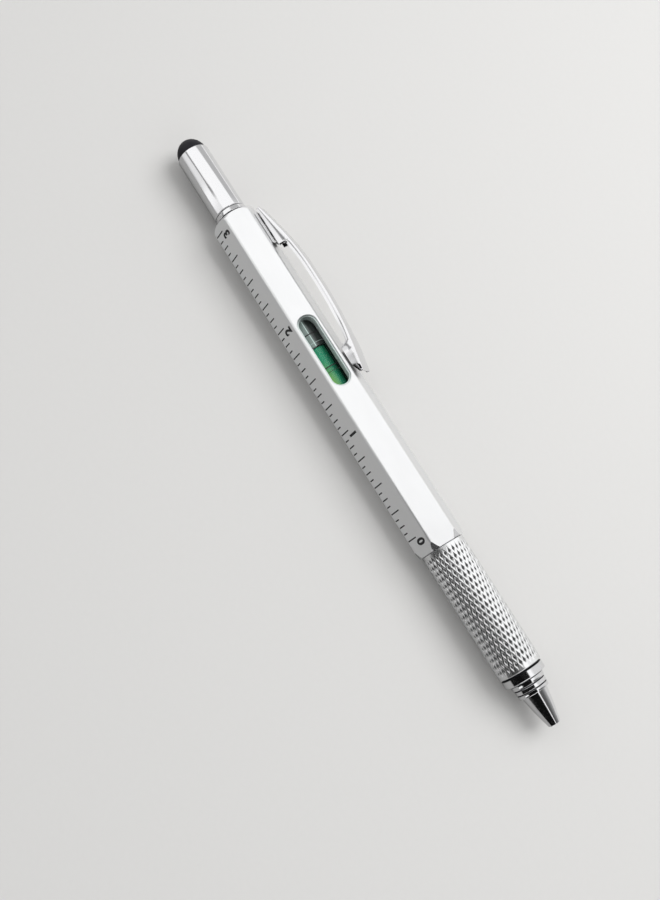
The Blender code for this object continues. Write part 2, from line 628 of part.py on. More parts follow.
def build_clip(materials, frame, pivot, rivet_places):
    """The sprung clip: a folded head, a bowed strap and a folded foot, on a riveted base."""
    start_x = rear_x + CLIP_FROM_REAR
    head = CLIP_HEAD_LENGTH
    strap_x = head + CLIP_SLANT
    foot_x = CLIP_LENGTH - CLIP_FOOT_LENGTH
    stations = [0.0] + spread(0.0, head, CLIP_HEAD_STEPS)
    stations += [head + CLIP_SLANT * share for share in CLIP_SLANT_SHARES]
    stations += spread(strap_x, foot_x - CLIP_SLANT, CLIP_STRAP_STEPS) + [foot_x]
    stations += spread(foot_x, foot_x + CLIP_FOOT_FLAT, EDGE_STEPS)
    stations += spread(foot_x + CLIP_FOOT_FLAT, CLIP_LENGTH, EDGE_STEPS)
    place = Vector((start_x - pivot.location.x, 0.0, axis_height - pivot.location.z))

    def skin(inset, low_of):
        sections = []
        for x in stations:
            share = x / CLIP_LENGTH
            section = clip_section(x, share, low_of(share), inset)
            sections.append([Vector(point) + place for point in section])
        return sections

    arm = add_object("clip_arm", loft(skin(0.0, clip_underside)), materials["chrome"], pivot)
    hollow_sections = skin(CLIP_SHEET, lambda share: -CLIP_BOW)
    first = [point + Vector((CLIP_SHEET, 0.0, 0.0)) for point in hollow_sections[0]]
    last = [point + Vector((OVERRUN, 0.0, 0.0)) for point in hollow_sections[-1]]
    hollow = add_object("clip_hollow_cutter", loft([first] + hollow_sections[1:] + [last]), None,
                        pivot)
    apply_boolean(arm, make_cutter(hollow), "DIFFERENCE")

    base_x = start_x + BASE_INSET
    low = axis_height + SEAT_GAP
    high = low + BASE_SHEET
    lip = BASE_SHEET
    outline = [
        (base_x, low), (base_x + BASE_LENGTH, low), (base_x + BASE_LENGTH + lip, low + lip / 2),
        (base_x + BASE_LENGTH + lip, high + lip / 4), (base_x + BASE_LENGTH, high), (base_x, high),
    ]
    half = BASE_WIDTH / 2
    base = add_object("clip_base",
                      loft([[(x, side, z) for x, z in outline] for side in (-half, half)]),
                      materials["chrome"], frame, smooth=False)
    for number, x in enumerate(rivet_places, 1):
        outline = rod_outline(low - OVERRUN, high + OVERRUN, RIVET_RADIUS + PRESS_GAP)
        hole = upright(f"base_hole_cutter_{number}", x, outline, None, frame)
        apply_boolean(base, make_cutter(hole), "DIFFERENCE")
        shank_low = bore_radius + PRESS_GAP
        head_low = high + PRESS_GAP
        head_high = head_low + RIVET_HEAD_HEIGHT
        outline = [(shank_low, 0.0), (shank_low, RIVET_RADIUS), (head_low, RIVET_RADIUS),
                   (head_low, RIVET_HEAD_RADIUS),
                   (head_low + RIVET_HEAD_HEIGHT / 2, RIVET_HEAD_RADIUS * RIVET_CROWN_SHARE),
                   (head_high, RIVET_HEAD_RADIUS / 2), (head_high, 0.0)]
        upright(f"clip_rivet_{number}", x, outline, materials["steel"], frame)


def build_cam_tube(material, parent):
    """The tube fixed in the barrel, with the helical slot that drives the plunger's pin."""
    tube = turned("cam_tube", tube_outline(cam_rear_x, cam_front_x, cam_radius, cam_bore),
                  FINE_SIDES, material, parent)
    lead = TRAVEL / TWIST
    slope = math.atan(lead / cam_radius)
    half = slot_half_width / math.cos(slope)
    reach = slot_half_width / cam_bore
    sections = []
    for step in range(SLOT_STEPS + 1):
        turn = -reach + (TWIST + 2 * reach) * step / SLOT_STEPS
        x = pin_x + lead * turn
        section = []
        for radius, side in ((cam_bore - OVERRUN, -half), (cam_radius + OVERRUN, -half),
                             (cam_radius + OVERRUN, half), (cam_bore - OVERRUN, half)):
            section.append((x + side, -radius * math.sin(turn), radius * math.cos(turn)))
        sections.append(section)
    slot = add_object("cam_slot_cutter", loft(sections), None, parent, smooth=False)
    apply_boolean(tube, make_cutter(slot), "DIFFERENCE")


def build_guide_tube(materials, parent):
    """The tube fixed in the grip, with the straight slot that turns the plunger's pin."""
    rear = cam_rear_x
    groove_x = cam_front_x - O_RING_FROM_FRONT
    groove_half = O_RING_SECTION / 2 + PRESS_GAP
    groove_radius = guide_radius - O_RING_SECTION
    tube = turned("guide_tube",
                  [(rear, guide_bore), (rear, guide_radius), (groove_x - groove_half, guide_radius),
                   (groove_x - groove_half, groove_radius), (groove_x + groove_half, groove_radius),
                   (groove_x + groove_half, guide_radius), (guide_front_x, guide_radius),
                   (guide_front_x, guide_bore)],
                  FINE_SIDES, materials["white_plastic"], parent)
    slot = add_object("guide_slot_cutter",
                      box((pin_x - slot_half_width, -slot_half_width, guide_bore / 2),
                          (pin_x + TRAVEL + slot_half_width, slot_half_width, cam_radius)),
                      None, parent, smooth=False)
    apply_boolean(tube, make_cutter(slot), "DIFFERENCE")
    ring_half = O_RING_SECTION / 2
    ring_low = groove_radius + PRESS_GAP
    ring_high = cam_bore - PRESS_GAP
    ring_middle = (ring_low + ring_high) / 2
    section = arc_outline((groove_x, ring_middle), (ring_half, (ring_high - ring_low) / 2),
                          0.0, 2 * math.pi, DOME_STEPS)[:-1]
    turned("friction_ring", section, MIDDLE_SIDES, materials["black_rubber"], parent)


def build_refill(materials, parent):
    """The plunger with its cross pin, and the refill that it holds."""
    edge = PLUNGER_EDGE
    bore = REFILL_RADIUS + PRESS_GAP
    plunger = turned("plunger",
                     [(plunger_rear_x, 0.0), (plunger_rear_x, plunger_radius - edge),
                      (plunger_rear_x + edge, plunger_radius), (plunger_front_x - edge, plunger_radius),
                      (plunger_front_x, plunger_radius - edge), (plunger_front_x, bore),
                      (refill_rear_x - SEAT_GAP, bore), (refill_rear_x - SEAT_GAP, 0.0)],
                     SMALL_SIDES, materials["black_plastic"], parent)
    pin_low = -plunger_radius / 2
    drilled = rod_outline(pin_low - SEAT_GAP, cam_radius, PIN_RADIUS + PRESS_GAP)
    hole = upright("pin_hole_cutter", pin_x, drilled, None, parent)
    apply_boolean(plunger, make_cutter(hole), "DIFFERENCE")
    upright("cross_pin", pin_x, rod_outline(pin_low, cam_radius - SEAT_GAP, PIN_RADIUS),
            materials["steel"], parent)

    tip_rear = point_x - REFILL_CONE_LENGTH - REFILL_NECK_LENGTH - REFILL_SHOULDER
    inner = REFILL_RADIUS - REFILL_WALL
    turned("refill_tube", tube_outline(refill_rear_x, tip_rear - SEAT_GAP, REFILL_RADIUS, inner),
           SMALL_SIDES, materials["brass"], parent)
    spigot_rear = tip_rear - REFILL_SPIGOT
    ink_front = spigot_rear - SEAT_GAP
    ink_rear = ink_front - (ink_front - refill_rear_x) * INK_SHARE
    turned("refill_ink", rod_outline(ink_rear, ink_front, inner - PRESS_GAP), SMALL_SIDES,
           materials["ink"], parent)
    neck_rear = tip_rear + REFILL_SHOULDER
    neck_front = neck_rear + REFILL_NECK_LENGTH
    ball_x = point_x - BALL_RADIUS
    rim_x = point_x - BALL_SHOW
    seat = BALL_RADIUS + BALL_GAP
    rim_angle = math.acos((rim_x - ball_x) / seat)
    pocket = arc_outline((ball_x, 0.0), (seat, seat), rim_angle, math.pi, DOME_STEPS)
    rim_radius = seat * math.sin(rim_angle)
    spigot = inner - PRESS_GAP
    turned("refill_point",
           [(spigot_rear, 0.0), (spigot_rear, spigot), (tip_rear, spigot),
            (tip_rear, REFILL_RADIUS), (neck_rear, REFILL_NECK_RADIUS),
            (neck_front, REFILL_NECK_RADIUS), (rim_x, rim_radius + BALL_GAP * 2)]
           + pocket[:-1] + [(pocket[-1][0], 0.0)],
           SMALL_SIDES, materials["brass"], parent)
    ball = bmesh.new()
    bmesh.ops.create_icosphere(ball, subdivisions=2, radius=BALL_RADIUS,
                               matrix=Matrix.Translation((ball_x, 0.0, 0.0)))
    add_object("refill_ball", ball, materials["steel"], parent)


def build_grip(material, parent):
    """The knurled sleeve: rows of staggered diamonds, each one raised to a crest."""
    bm = bmesh.new()
    step = 2 * math.pi / GRIP_COLUMNS

    def ring(x, radius, shift=0.0):
        turns = [step * (column + shift) for column in range(GRIP_COLUMNS)]
        return [bm.verts.new((x, radius * math.sin(turn), radius * math.cos(turn))) for turn in turns]

    band = GRIP_END_BAND
    rows = 2 * round((GRIP_LENGTH - 2 * band) / GRIP_ROW_PITCH / 2)
    pitch = (GRIP_LENGTH - 2 * band) / rows
    first_x = grip_rear_x + band
    grooves = [ring(first_x + pitch * row, grip_groove_radius, row % 2 / 2) for row in range(rows + 1)]
    for row in range(1, rows):
        lean = row % 2
        crests = ring(first_x + pitch * row, GRIP_CREST_RADIUS, (1 + lean) / 2)
        for i in range(GRIP_COLUMNS):
            after = (i + 1) % GRIP_COLUMNS
            top = (i + lean) % GRIP_COLUMNS
            corners = (grooves[row][i], grooves[row + 1][top],
                       grooves[row][after], grooves[row - 1][top])
            for near, far in zip(corners, corners[1:] + corners[:1]):
                bm.faces.new((crests[i], near, far))
    for row, inner in ((0, 1), (rows, rows - 1)):
        for i in range(GRIP_COLUMNS):
            after = (i + 1) % GRIP_COLUMNS
            bm.faces.new((grooves[row][i], grooves[row][after], grooves[inner][i]))

    guide_hole = guide_radius + PRESS_GAP
    ledge_x = guide_front_x + SEAT_GAP
    passage = guide_bore
    thread_x = thread_rear_x - SEAT_GAP
    end_radius = grip_groove_radius - band / 2
    inside = [(grip_rear_x, end_radius), (grip_rear_x, guide_hole), (ledge_x, guide_hole),
              (ledge_x, passage), (thread_x, passage), (thread_x, grip_bore),
              (grip_front_x, grip_bore), (grip_front_x, end_radius)]
    rings = [grooves[0]] + [ring(x, radius) for x, radius in inside] + [grooves[rows]]
    for near, far in zip(rings, rings[1:]):
        for i in range(GRIP_COLUMNS):
            after = (i + 1) % GRIP_COLUMNS
            bm.faces.new((near[i], near[after], far[after], far[i]))
    add_object("knurled_grip", bm, material, parent)


def build_nose(material, parent):
    """The nose: stacked rings and a long point, threaded into the grip and bored for the refill."""
    outer = [(nose_rear_x + x * NOSE_LENGTH, radius * NOSE_RADIUS) for x, radius in NOSE_SHARES]
    hole = REFILL_NECK_RADIUS + NOSE_HOLE_GAP
    bore = REFILL_RADIUS + NOSE_HOLE_GAP
    hole_rear = nose_front_x - NOSE_HOLE_LENGTH
    thread_bore = thread_radius - NOSE_THREAD_WALL
    outline = [(thread_rear_x, thread_bore), (thread_rear_x, thread_radius),
               (nose_rear_x, thread_radius)]
    outline += outer
    outline += [(nose_front_x, hole), (hole_rear, hole), (hole_rear - NOSE_INNER_CONE, bore),
                (nose_rear_x, bore), (nose_rear_x, thread_bore)]
    turned("nose_cone", outline, MIDDLE_SIDES, material, parent)


def build_pen():
    """Builds every piece of the pen."""
    for item in list(bpy.data.objects):
        bpy.data.objects.remove(item, do_unlink=True)

    materials = {
        "satin_aluminium": make_material("satin_aluminium", (0.80, 0.81, 0.82), 0.32, 0.9),
        "chrome": make_material("chrome", (0.82, 0.82, 0.83), 0.08, 1.0),
        "steel": make_material("steel", (0.55, 0.56, 0.58), 0.25, 1.0),
        "brass": make_material("brass", (0.78, 0.60, 0.28), 0.3, 1.0),
        "black_rubber": make_material("black_rubber", (0.02, 0.02, 0.025), 0.7, 0.0),
        "white_plastic": make_material("white_plastic", (0.85, 0.86, 0.84), 0.4, 0.0),
        "black_plastic": make_material("black_plastic", (0.03, 0.03, 0.03), 0.4, 0.0),
        "clear_acrylic": make_material("clear_acrylic", (0.9, 0.95, 0.93), 0.05, 0.0, 0.3),
        "green_liquid": make_material("green_liquid", (0.05, 0.42, 0.2), 0.05, 0.0, 0.8),
        "ink": make_material("ink", (0.01, 0.01, 0.03), 0.3, 0.0),
    }

    axis = add_empty("pen_axis", (0.0, 0.0, axis_height))
    grip_pivot = add_empty("grip_pivot", (grip_rear_x, 0.0, 0.0), axis)
    refill_slide = add_empty("refill_slide", (point_x, 0.0, 0.0), axis)
    cap_slide = add_empty("cap_slide", (cap_front_x, 0.0, 0.0), axis)
    bit_slide = add_empty("bit_slide", (bit_front_x, 0.0, 0.0), axis)
    clip_frame = add_empty("clip_frame", (0.0, 0.0, 0.0), axis, -HEX_ANGLE)
    clip_x = rear_x + CLIP_FROM_REAR
    fold_z = axis_height + CLIP_HEAD_STANDOFF
    clip_pivot = add_empty("clip_pivot", (clip_x, 0.0, fold_z), clip_frame)

    rivet_middle = clip_x + BASE_INSET + BASE_LENGTH / 2
    rivet_places = (rivet_middle - RIVET_PITCH / 2, rivet_middle + RIVET_PITCH / 2)

    build_barrel(materials["satin_aluminium"], axis, rivet_places, clip_frame)
    build_level(materials, axis)
    build_bit_holder(materials, axis)
    build_cam_tube(materials["steel"], axis)
    build_clip(materials, clip_frame, clip_pivot, rivet_places)
    for build, pieces, pivot in (
        (build_bit, materials["steel"], bit_slide),
        (build_cap, materials, cap_slide),
        (build_guide_tube, materials, grip_pivot),
        (build_grip, materials["satin_aluminium"], grip_pivot),
        (build_nose, materials["chrome"], grip_pivot),
        (build_refill, materials, refill_slide),
    ):
        build_on_pivot(build, pieces, pivot)


def build_on_pivot(build, pieces, pivot):
    """Builds pieces in the pen's frame and hangs them on their pivot without moving them."""
    carrier = bpy.data.objects["pen_axis"]
    before = set(bpy.data.objects)
    build(pieces, carrier)
    for piece in set(bpy.data.objects) - before:
        piece.data.transform(Matrix.Translation(-pivot.location))
        piece.parent = pivot


build_pen()
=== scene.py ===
import math

import bmesh
import bpy
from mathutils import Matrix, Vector


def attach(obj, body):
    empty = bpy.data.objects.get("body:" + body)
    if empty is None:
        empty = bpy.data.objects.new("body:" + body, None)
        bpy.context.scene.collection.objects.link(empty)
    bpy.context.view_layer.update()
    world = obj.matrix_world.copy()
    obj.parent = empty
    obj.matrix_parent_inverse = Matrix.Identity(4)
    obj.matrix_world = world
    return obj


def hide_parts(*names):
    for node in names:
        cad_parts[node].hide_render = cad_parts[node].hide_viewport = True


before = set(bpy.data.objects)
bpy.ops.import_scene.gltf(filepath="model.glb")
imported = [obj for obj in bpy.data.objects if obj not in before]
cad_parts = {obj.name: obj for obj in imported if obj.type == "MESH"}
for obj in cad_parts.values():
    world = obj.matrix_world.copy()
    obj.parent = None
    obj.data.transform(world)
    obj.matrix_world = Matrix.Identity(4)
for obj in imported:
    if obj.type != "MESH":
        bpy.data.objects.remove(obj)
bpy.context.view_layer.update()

mm = 0.001
axisHeight = 4.8  # the pen's own axis above the table, mm
hexTurn = math.radians(60)
mergeReach = 0.000002  # points nearer than this are joined, m
grainDepth = 0.00002  # the bump of a fine grain, m


class Wire:
    # one shader socket, so that material maths reads as plain Python
    def __init__(self, tree, socket):
        self.tree = tree
        self.socket = socket

    def math(self, operation, *others, swap=False):
        node = self.tree.nodes.new("ShaderNodeMath")
        node.operation = operation
        items = (self,) + others
        if swap:
            items = items[::-1]
        for slot, item in enumerate(items):
            if isinstance(item, Wire):
                self.tree.links.new(item.socket, node.inputs[slot])
            else:
                node.inputs[slot].default_value = item
        return Wire(self.tree, node.outputs[0])

    def __add__(self, other):
        return self.math("ADD", other)

    def __radd__(self, other):
        return self.math("ADD", other)

    def __sub__(self, other):
        return self.math("SUBTRACT", other)

    def __rsub__(self, other):
        return self.math("SUBTRACT", other, swap=True)

    def __mul__(self, other):
        return self.math("MULTIPLY", other)

    def __rmul__(self, other):
        return self.math("MULTIPLY", other)

    def __truediv__(self, other):
        return self.math("DIVIDE", other)

    def __pow__(self, other):
        return self.math("POWER", other)

    def above(self, edge, softness):
        # 0 below the edge, 1 above it, smooth between
        ramp = (self - edge) / softness + 0.5
        return ramp.math("MAXIMUM", 0.0).math("MINIMUM", 1.0)


class Graph:
    # a node tree, with one method for every node that isn't plain maths
    def __init__(self, tree):
        self.tree = tree

    def fill(self, socket, value):
        if isinstance(value, Wire):
            self.tree.links.new(value.socket, socket)
        elif socket.type == "RGBA" and len(value) == 3:
            socket.default_value = (*value, 1.0)
        else:
            socket.default_value = value

    def node(self, kind, settings=None, inputs=None, output=0):
        item = self.tree.nodes.new(kind)
        for key, value in (settings or {}).items():
            setattr(item, key, value)
        for key, value in (inputs or {}).items():
            self.fill(item.inputs[key], value)
        return Wire(self.tree, item.outputs[output])

    def place(self, moved=(0, 0, 0), stretch=(1, 1, 1)):
        spot = self.node("ShaderNodeTexCoord", output=3)
        return self.node("ShaderNodeMapping", inputs={"Vector": spot, "Location": moved, "Scale": stretch})

    def axes(self, place):
        return [self.node("ShaderNodeSeparateXYZ", inputs={"Vector": place}, output=slot)
                for slot in range(3)]

    def axesRoundPen(self):
        # along, across and up from the pen's own axis
        return self.axes(self.place(moved=(0, 0, -axisHeight * mm)))

    def noise(self, place, scale, detail=2.0, roughness=0.55):
        return self.node("ShaderNodeTexNoise",
                         inputs={"Vector": place, "Scale": scale, "Detail": detail, "Roughness": roughness})

    def mix(self, factor, first, second):
        return self.node("ShaderNodeMix", {"data_type": "RGBA"}, {0: factor, 6: first, 7: second}, output=2)


class Finish(Graph):
    # a new material with its Principled shader
    def __init__(self, name, **constants):
        self.material = bpy.data.materials.new(name)
        self.material.use_nodes = True
        super().__init__(self.material.node_tree)
        self.surface = self.tree.nodes["Principled BSDF"]
        for key, value in constants.items():
            self.put(key.replace("_", " "), value)

    def put(self, name, value):
        self.fill(self.surface.inputs[name], value)

    def bump(self, height, strength, distance=grainDepth):
        self.put("Normal", self.node("ShaderNodeBump",
                                     inputs={"Height": height, "Strength": strength, "Distance": distance}))


def scaled(colour, share):
    return tuple(channel * share for channel in colour)


# metal finishes
def satinMetal(name, colour, roughness, grain=0.06):
    finish = Finish(name, Metallic=0.9)
    fine = finish.noise(finish.place(), 9000.0, 3.0)
    broad = finish.noise(finish.place(stretch=(0.35, 1, 1)), 260.0)
    finish.put("Base Color", finish.mix(broad * 0.55 + fine * 0.25, colour, scaled(colour, 0.9)))
    finish.put("Roughness", roughness + (fine - 0.5) * grain + (broad - 0.5) * 0.08)
    finish.bump(fine, 0.12)
    return finish.material


def brightMetal(name, colour, roughness):
    finish = Finish(name, Metallic=1.0)
    haze = finish.noise(finish.place(stretch=(0.3, 1, 1)), 420.0, 3.0)
    hairline = finish.noise(finish.place(stretch=(0.02, 1, 1)), 5200.0)
    finish.put("Base Color", finish.mix(haze * 0.4, colour, scaled(colour, 0.93)))
    finish.put("Roughness", roughness + haze * 0.05 + hairline * 0.03)
    finish.bump(hairline, 0.04, grainDepth / 2)
    return finish.material


def machinedMetal(name, colour, roughness):
    finish = Finish(name, Metallic=1.0)
    rings = finish.noise(finish.place(stretch=(1, 0.06, 0.06)), 5200.0, 3.0)
    stain = finish.noise(finish.place(), 500.0, 3.0)
    finish.put("Base Color", finish.mix(rings * 0.5 + stain * 0.3, colour, scaled(colour, 0.72)))
    finish.put("Roughness", roughness + rings * 0.12)
    finish.bump(rings, 0.15)
    return finish.material


def knurlMetal(name, colour, crest, pit):
    # painted shade in the pits, which are counted from their depth under the crests
    finish = Finish(name, Metallic=1.0)
    across, up = finish.axesRoundPen()[1:]
    radius = (across * across + up * up) ** 0.5
    proud = radius.above((crest - pit) * mm, 0.1 * mm)
    fine = finish.noise(finish.place(), 7000.0, 3.0)
    finish.put("Base Color", finish.mix(proud, scaled(colour, 0.12), colour))
    finish.put("Roughness", 0.28 - proud * 0.07 + fine * 0.05)
    finish.bump(fine, 0.08)
    return finish.material


def foldedMetal(name, bright, shade, wall):
    # bright on the side walls, outside the given distance from the strip's middle, and painted shade between
    # them, under the clip's arm
    finish = Finish(name, Metallic=1.0)
    across, up = finish.axesRoundPen()[1:]
    fine = finish.noise(finish.place(), 5000.0)
    side = (across * -math.cos(hexTurn) + up * math.sin(hexTurn)).math("ABSOLUTE")
    finish.put("Base Color", finish.mix(side.above(wall * mm, 0.1 * mm), shade, bright))
    finish.put("Roughness", 0.2 + fine * 0.12)
    return finish.material


# rubber, plastics, liquid and paint
def mattePolymer(name, colour, roughness, speckle=0.12, sheen=0.0, shine=0.5):
    finish = Finish(name, Sheen_Weight=sheen, Specular_IOR_Level=shine)
    fine = finish.noise(finish.place(), 6500.0, 3.0)
    broad = finish.noise(finish.place(), 380.0)
    lighter = tuple(min(1.0, channel * (1 + speckle) + 0.01 * speckle) for channel in colour)
    finish.put("Base Color", finish.mix(fine * 0.6 + broad * 0.4, colour, lighter))
    finish.put("Roughness", roughness + (fine - 0.5) * 0.12)
    finish.bump(fine, 0.1)
    return finish.material


def clearPlastic(name, colour, alpha, hollow=None, hollowEnd=0.0):
    # clear over the liquid; painted shade, near black, along the far side; over the hollow part nearly
    # opaque, with painted shade that darkens towards the far side, a painted highlight streak along it and a
    # painted highlight band across it
    finish = Finish(name, IOR=1.49)
    along, across = finish.axes(finish.place())[:2]
    haze = finish.noise(finish.place(), 900.0)
    # painted shade: near black along the far side
    farSide = across.above(1.5 * mm, 0.35 * mm)
    colour = finish.mix(haze, colour, scaled(colour, 0.94))
    clear = alpha + haze * 0.04 + farSide * 0.6
    if hollow:
        # the hollow part: nearly opaque, with painted shade darker towards the far side, a painted highlight
        # streak along it and a painted highlight band across it
        streakShift, bandShift = 0.35, 0.9
        zone = 1 - along.above(hollowEnd * mm, 0.3 * mm)
        streakHighlight = 1 - (across * (1 / mm) + streakShift).math("ABSOLUTE").above(0.07, 0.08)
        band = 1 - (along * (1 / mm) - hollowEnd + bandShift).math("ABSOLUTE").above(0.06, 0.08)
        paintedHollow = finish.mix(across.above(-0.1 * mm, 0.7 * mm), hollow, scaled(hollow, 0.12))
        paintedHollow = finish.mix(streakHighlight * 0.9 + band * 0.35, paintedHollow, scaled(hollow, 3.2))
        colour = finish.mix(zone, colour, paintedHollow)
        clear = clear * (1 - zone) + zone * 0.93
    finish.put("Base Color", colour)
    finish.put("Roughness", 0.03 + haze * 0.04)
    finish.put("Alpha", clear)
    return finish.material


def linerPlastic(name, light, dark, turn):
    # pale along the window, with painted shade where it turns under the window's cap end
    finish = Finish(name)
    along = finish.axes(finish.place())[0]
    fine = finish.noise(finish.place(), 4000.0, 3.0)
    pale = along.above(turn * mm, 1.6 * mm) * (0.92 + fine * 0.08)
    finish.put("Base Color", finish.mix(pale, dark, light))
    finish.put("Roughness", 0.22 + fine * 0.1)
    return finish.material


def levelLiquid(name, farShade, mid, pale):
    # darkest green as painted shade along the far side, pale green as painted light at the near side of the
    # nose end, and a faint painted glow all over
    finish = Finish(name, Specular_IOR_Level=0.4, Emission_Strength=0.35)
    along, across = finish.axesRoundPen()[:2]
    haze = finish.noise(finish.place(), 300.0)
    farSide = across.above(0.7 * mm, 1.9 * mm)
    noseEnd = along.above(-1.5 * mm, 5.0 * mm)
    nearSide = 1 - across.above(-0.7 * mm, 2.2 * mm)
    colour = finish.mix(noseEnd * nearSide * (0.75 + haze * 0.3), finish.mix(farSide, mid, farShade), pale)
    finish.put("Base Color", colour)
    # painted glow: the liquid emits its own colours a little
    finish.put("Emission Color", colour)
    finish.put("Roughness", 0.05 + haze * 0.05)
    return finish.material


def markPaint(name, colour):
    finish = Finish(name)
    wear = finish.noise(finish.place(), 3200.0, 3.0)
    worn = tuple(channel * 1.8 + 0.004 for channel in colour)
    finish.put("Base Color", finish.mix(wear, colour, worn))
    finish.put("Roughness", 0.5 + wear * 0.2)
    return finish.material


# the colours and finishes in use; distances are in mm
satin = satinMetal("satin_aluminium", colour=(0.86, 0.865, 0.87), roughness=0.3)
turned = satinMetal("turned_aluminium", colour=(0.7, 0.705, 0.71), roughness=0.16, grain=0.04)
chrome = brightMetal("chrome", colour=(0.79, 0.79, 0.8), roughness=0.07)
steel = machinedMetal("steel", colour=(0.6, 0.61, 0.63), roughness=0.24)
brass = machinedMetal("brass", colour=(0.8, 0.62, 0.3), roughness=0.22)
# painted shade: a near black metal for the clip's inside, its slot and the grooves between the nose's rings
paintedShadeMetal = machinedMetal("painted_shade_metal", colour=(0.035, 0.036, 0.04), roughness=0.5)
knurled = knurlMetal("knurled_aluminium", colour=(0.86, 0.865, 0.87), crest=4.67, pit=0.17)
baseMetal = foldedMetal("clip_base_metal", bright=(0.8, 0.8, 0.81), shade=(0.03, 0.031, 0.034), wall=1.2)
rubber = mattePolymer("black_rubber", colour=(0.009, 0.0085, 0.011), roughness=0.5, speckle=0.6,
                      sheen=0.02, shine=0.12)
whitePlastic = mattePolymer("white_plastic", colour=(0.83, 0.85, 0.83), roughness=0.36, speckle=0.05)
blackPlastic = mattePolymer("black_plastic", colour=(0.03, 0.03, 0.032), roughness=0.4, speckle=0.5)
inkPaste = mattePolymer("ink", colour=(0.01, 0.01, 0.03), roughness=0.3, speckle=0.4)
acrylic = clearPlastic("clear_acrylic", colour=(0.01, 0.03, 0.02), alpha=0.1,
                       hollow=(0.2, 0.25, 0.235), hollowEnd=-6.9)
plugPlastic = clearPlastic("plug_acrylic", colour=(0.2, 0.23, 0.22), alpha=0.75)
liner = linerPlastic("liner_plastic", light=(0.62, 0.69, 0.67), dark=(0.07, 0.09, 0.085), turn=-12.6)
liquid = levelLiquid("green_liquid", farShade=(0.004, 0.06, 0.03), mid=(0.03, 0.3, 0.16),
                     pale=(0.36, 0.62, 0.12))
blackPaint = markPaint("mark_paint", colour=(0.006, 0.006, 0.007))
print("finishes ready")


def clearSelection():
    if bpy.context.object and bpy.context.object.mode != "OBJECT":
        bpy.ops.object.mode_set(mode="OBJECT")
    bpy.ops.object.select_all(action="DESELECT")


def choose(piece):
    clearSelection()
    piece.select_set(True)
    bpy.context.view_layer.objects.active = piece


def pick(kind, test):
    # selects what passes the test, of the mesh that is open in edit mode
    mesh = bpy.context.object.data
    bpy.ops.mesh.select_mode(type=kind)
    bpy.ops.mesh.select_all(action="DESELECT")
    shape = bmesh.from_edit_mesh(mesh)
    items = {"VERT": shape.verts, "EDGE": shape.edges, "FACE": shape.faces}[kind]
    for item in items:
        if test(item):
            item.select_set(True)
    shape.select_flush_mode()
    bmesh.update_edit_mesh(mesh)


def openMesh(piece):
    choose(piece)
    bpy.ops.object.mode_set(mode="EDIT")
    bpy.ops.mesh.select_mode(type="VERT")
    bpy.ops.mesh.select_all(action="SELECT")


def closeMesh():
    bpy.ops.mesh.select_all(action="SELECT")
    bpy.ops.mesh.remove_doubles(threshold=mergeReach)
    bpy.ops.mesh.normals_make_consistent(inside=False)
    bpy.ops.object.mode_set(mode="OBJECT")


def seat(piece, tilt=0.0):
    # moves a piece made round the pen's axis to its place, and applies that
    choose(piece)
    piece.location = (0, 0, axisHeight * mm)
    piece.rotation_euler = (tilt, 0, 0)
    bpy.ops.object.transform_apply(location=True, rotation=True, scale=True)


def applyModifier(piece, kind, name, **settings):
    choose(piece)
    modifier = piece.modifiers.new(name, kind)
    for key, value in settings.items():
        setattr(modifier, key, value)
    bpy.ops.object.modifier_apply(modifier=name)


def cut(piece, tool, operation="DIFFERENCE", **settings):
    applyModifier(piece, "BOOLEAN", "cut", operation=operation, solver="EXACT", object=tool, **settings)
    bpy.data.objects.remove(tool)


def paintFaces(piece, first, second, test):
    # the first material all over, and the second on the faces that pass the test
    piece.data.materials.append(first)
    piece.data.materials.append(second)
    openMesh(piece)
    pick("FACE", test)
    piece.active_material_index = 1
    bpy.ops.object.material_slot_assign()
    closeMesh()


def finishPiece(piece, material, slot, body, *nodes, angle=35):
    choose(piece)
    bpy.ops.object.shade_smooth_by_angle(angle=math.radians(angle))
    if not piece.data.materials:
        piece.data.materials.append(material)
    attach(piece, body)
    if nodes:
        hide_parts(*nodes)


def turnPiece(name, outline, sides=96):
    # a turned piece: the outline is drawn point by point as (along, radius) in mm, then spun
    clearSelection()
    bpy.ops.mesh.primitive_plane_add(size=mm)
    piece = bpy.context.object
    piece.name = piece.data.name = name
    bpy.ops.object.mode_set(mode="EDIT")
    bpy.ops.mesh.select_mode(type="VERT")
    bpy.ops.mesh.merge(type="CENTER")
    bpy.ops.transform.translate(value=(outline[0][0] * mm, 0, outline[0][1] * mm))
    for (x, radius), (nextX, nextRadius) in zip(outline, outline[1:]):
        step = ((nextX - x) * mm, 0, (nextRadius - radius) * mm)
        bpy.ops.mesh.extrude_vertices_move(TRANSFORM_OT_translate={"value": step})
    if outline[0][1] > 0:  # a tube, so the outline is closed
        ends = [(point[0] * mm, point[1] * mm) for point in (outline[0], outline[-1])]
        pick("VERT", lambda vert: any(abs(vert.co.x - x) < mergeReach and abs(vert.co.z - z) < mergeReach
                                      for x, z in ends))
        bpy.ops.mesh.edge_face_add()
    bpy.ops.mesh.select_all(action="SELECT")
    bpy.ops.mesh.spin(steps=sides, angle=2 * math.pi, center=(0, 0, 0), axis=(1, 0, 0))
    closeMesh()
    return piece


def arc(centre, reach, start, stop, steps):
    # points on an ellipse's arc, between two angles in degrees
    points = []
    for step in range(steps + 1):
        angle = math.radians(start + (stop - start) * step / steps)
        points.append((centre[0] + reach[0] * math.cos(angle), centre[1] + reach[1] * math.sin(angle)))
    return points


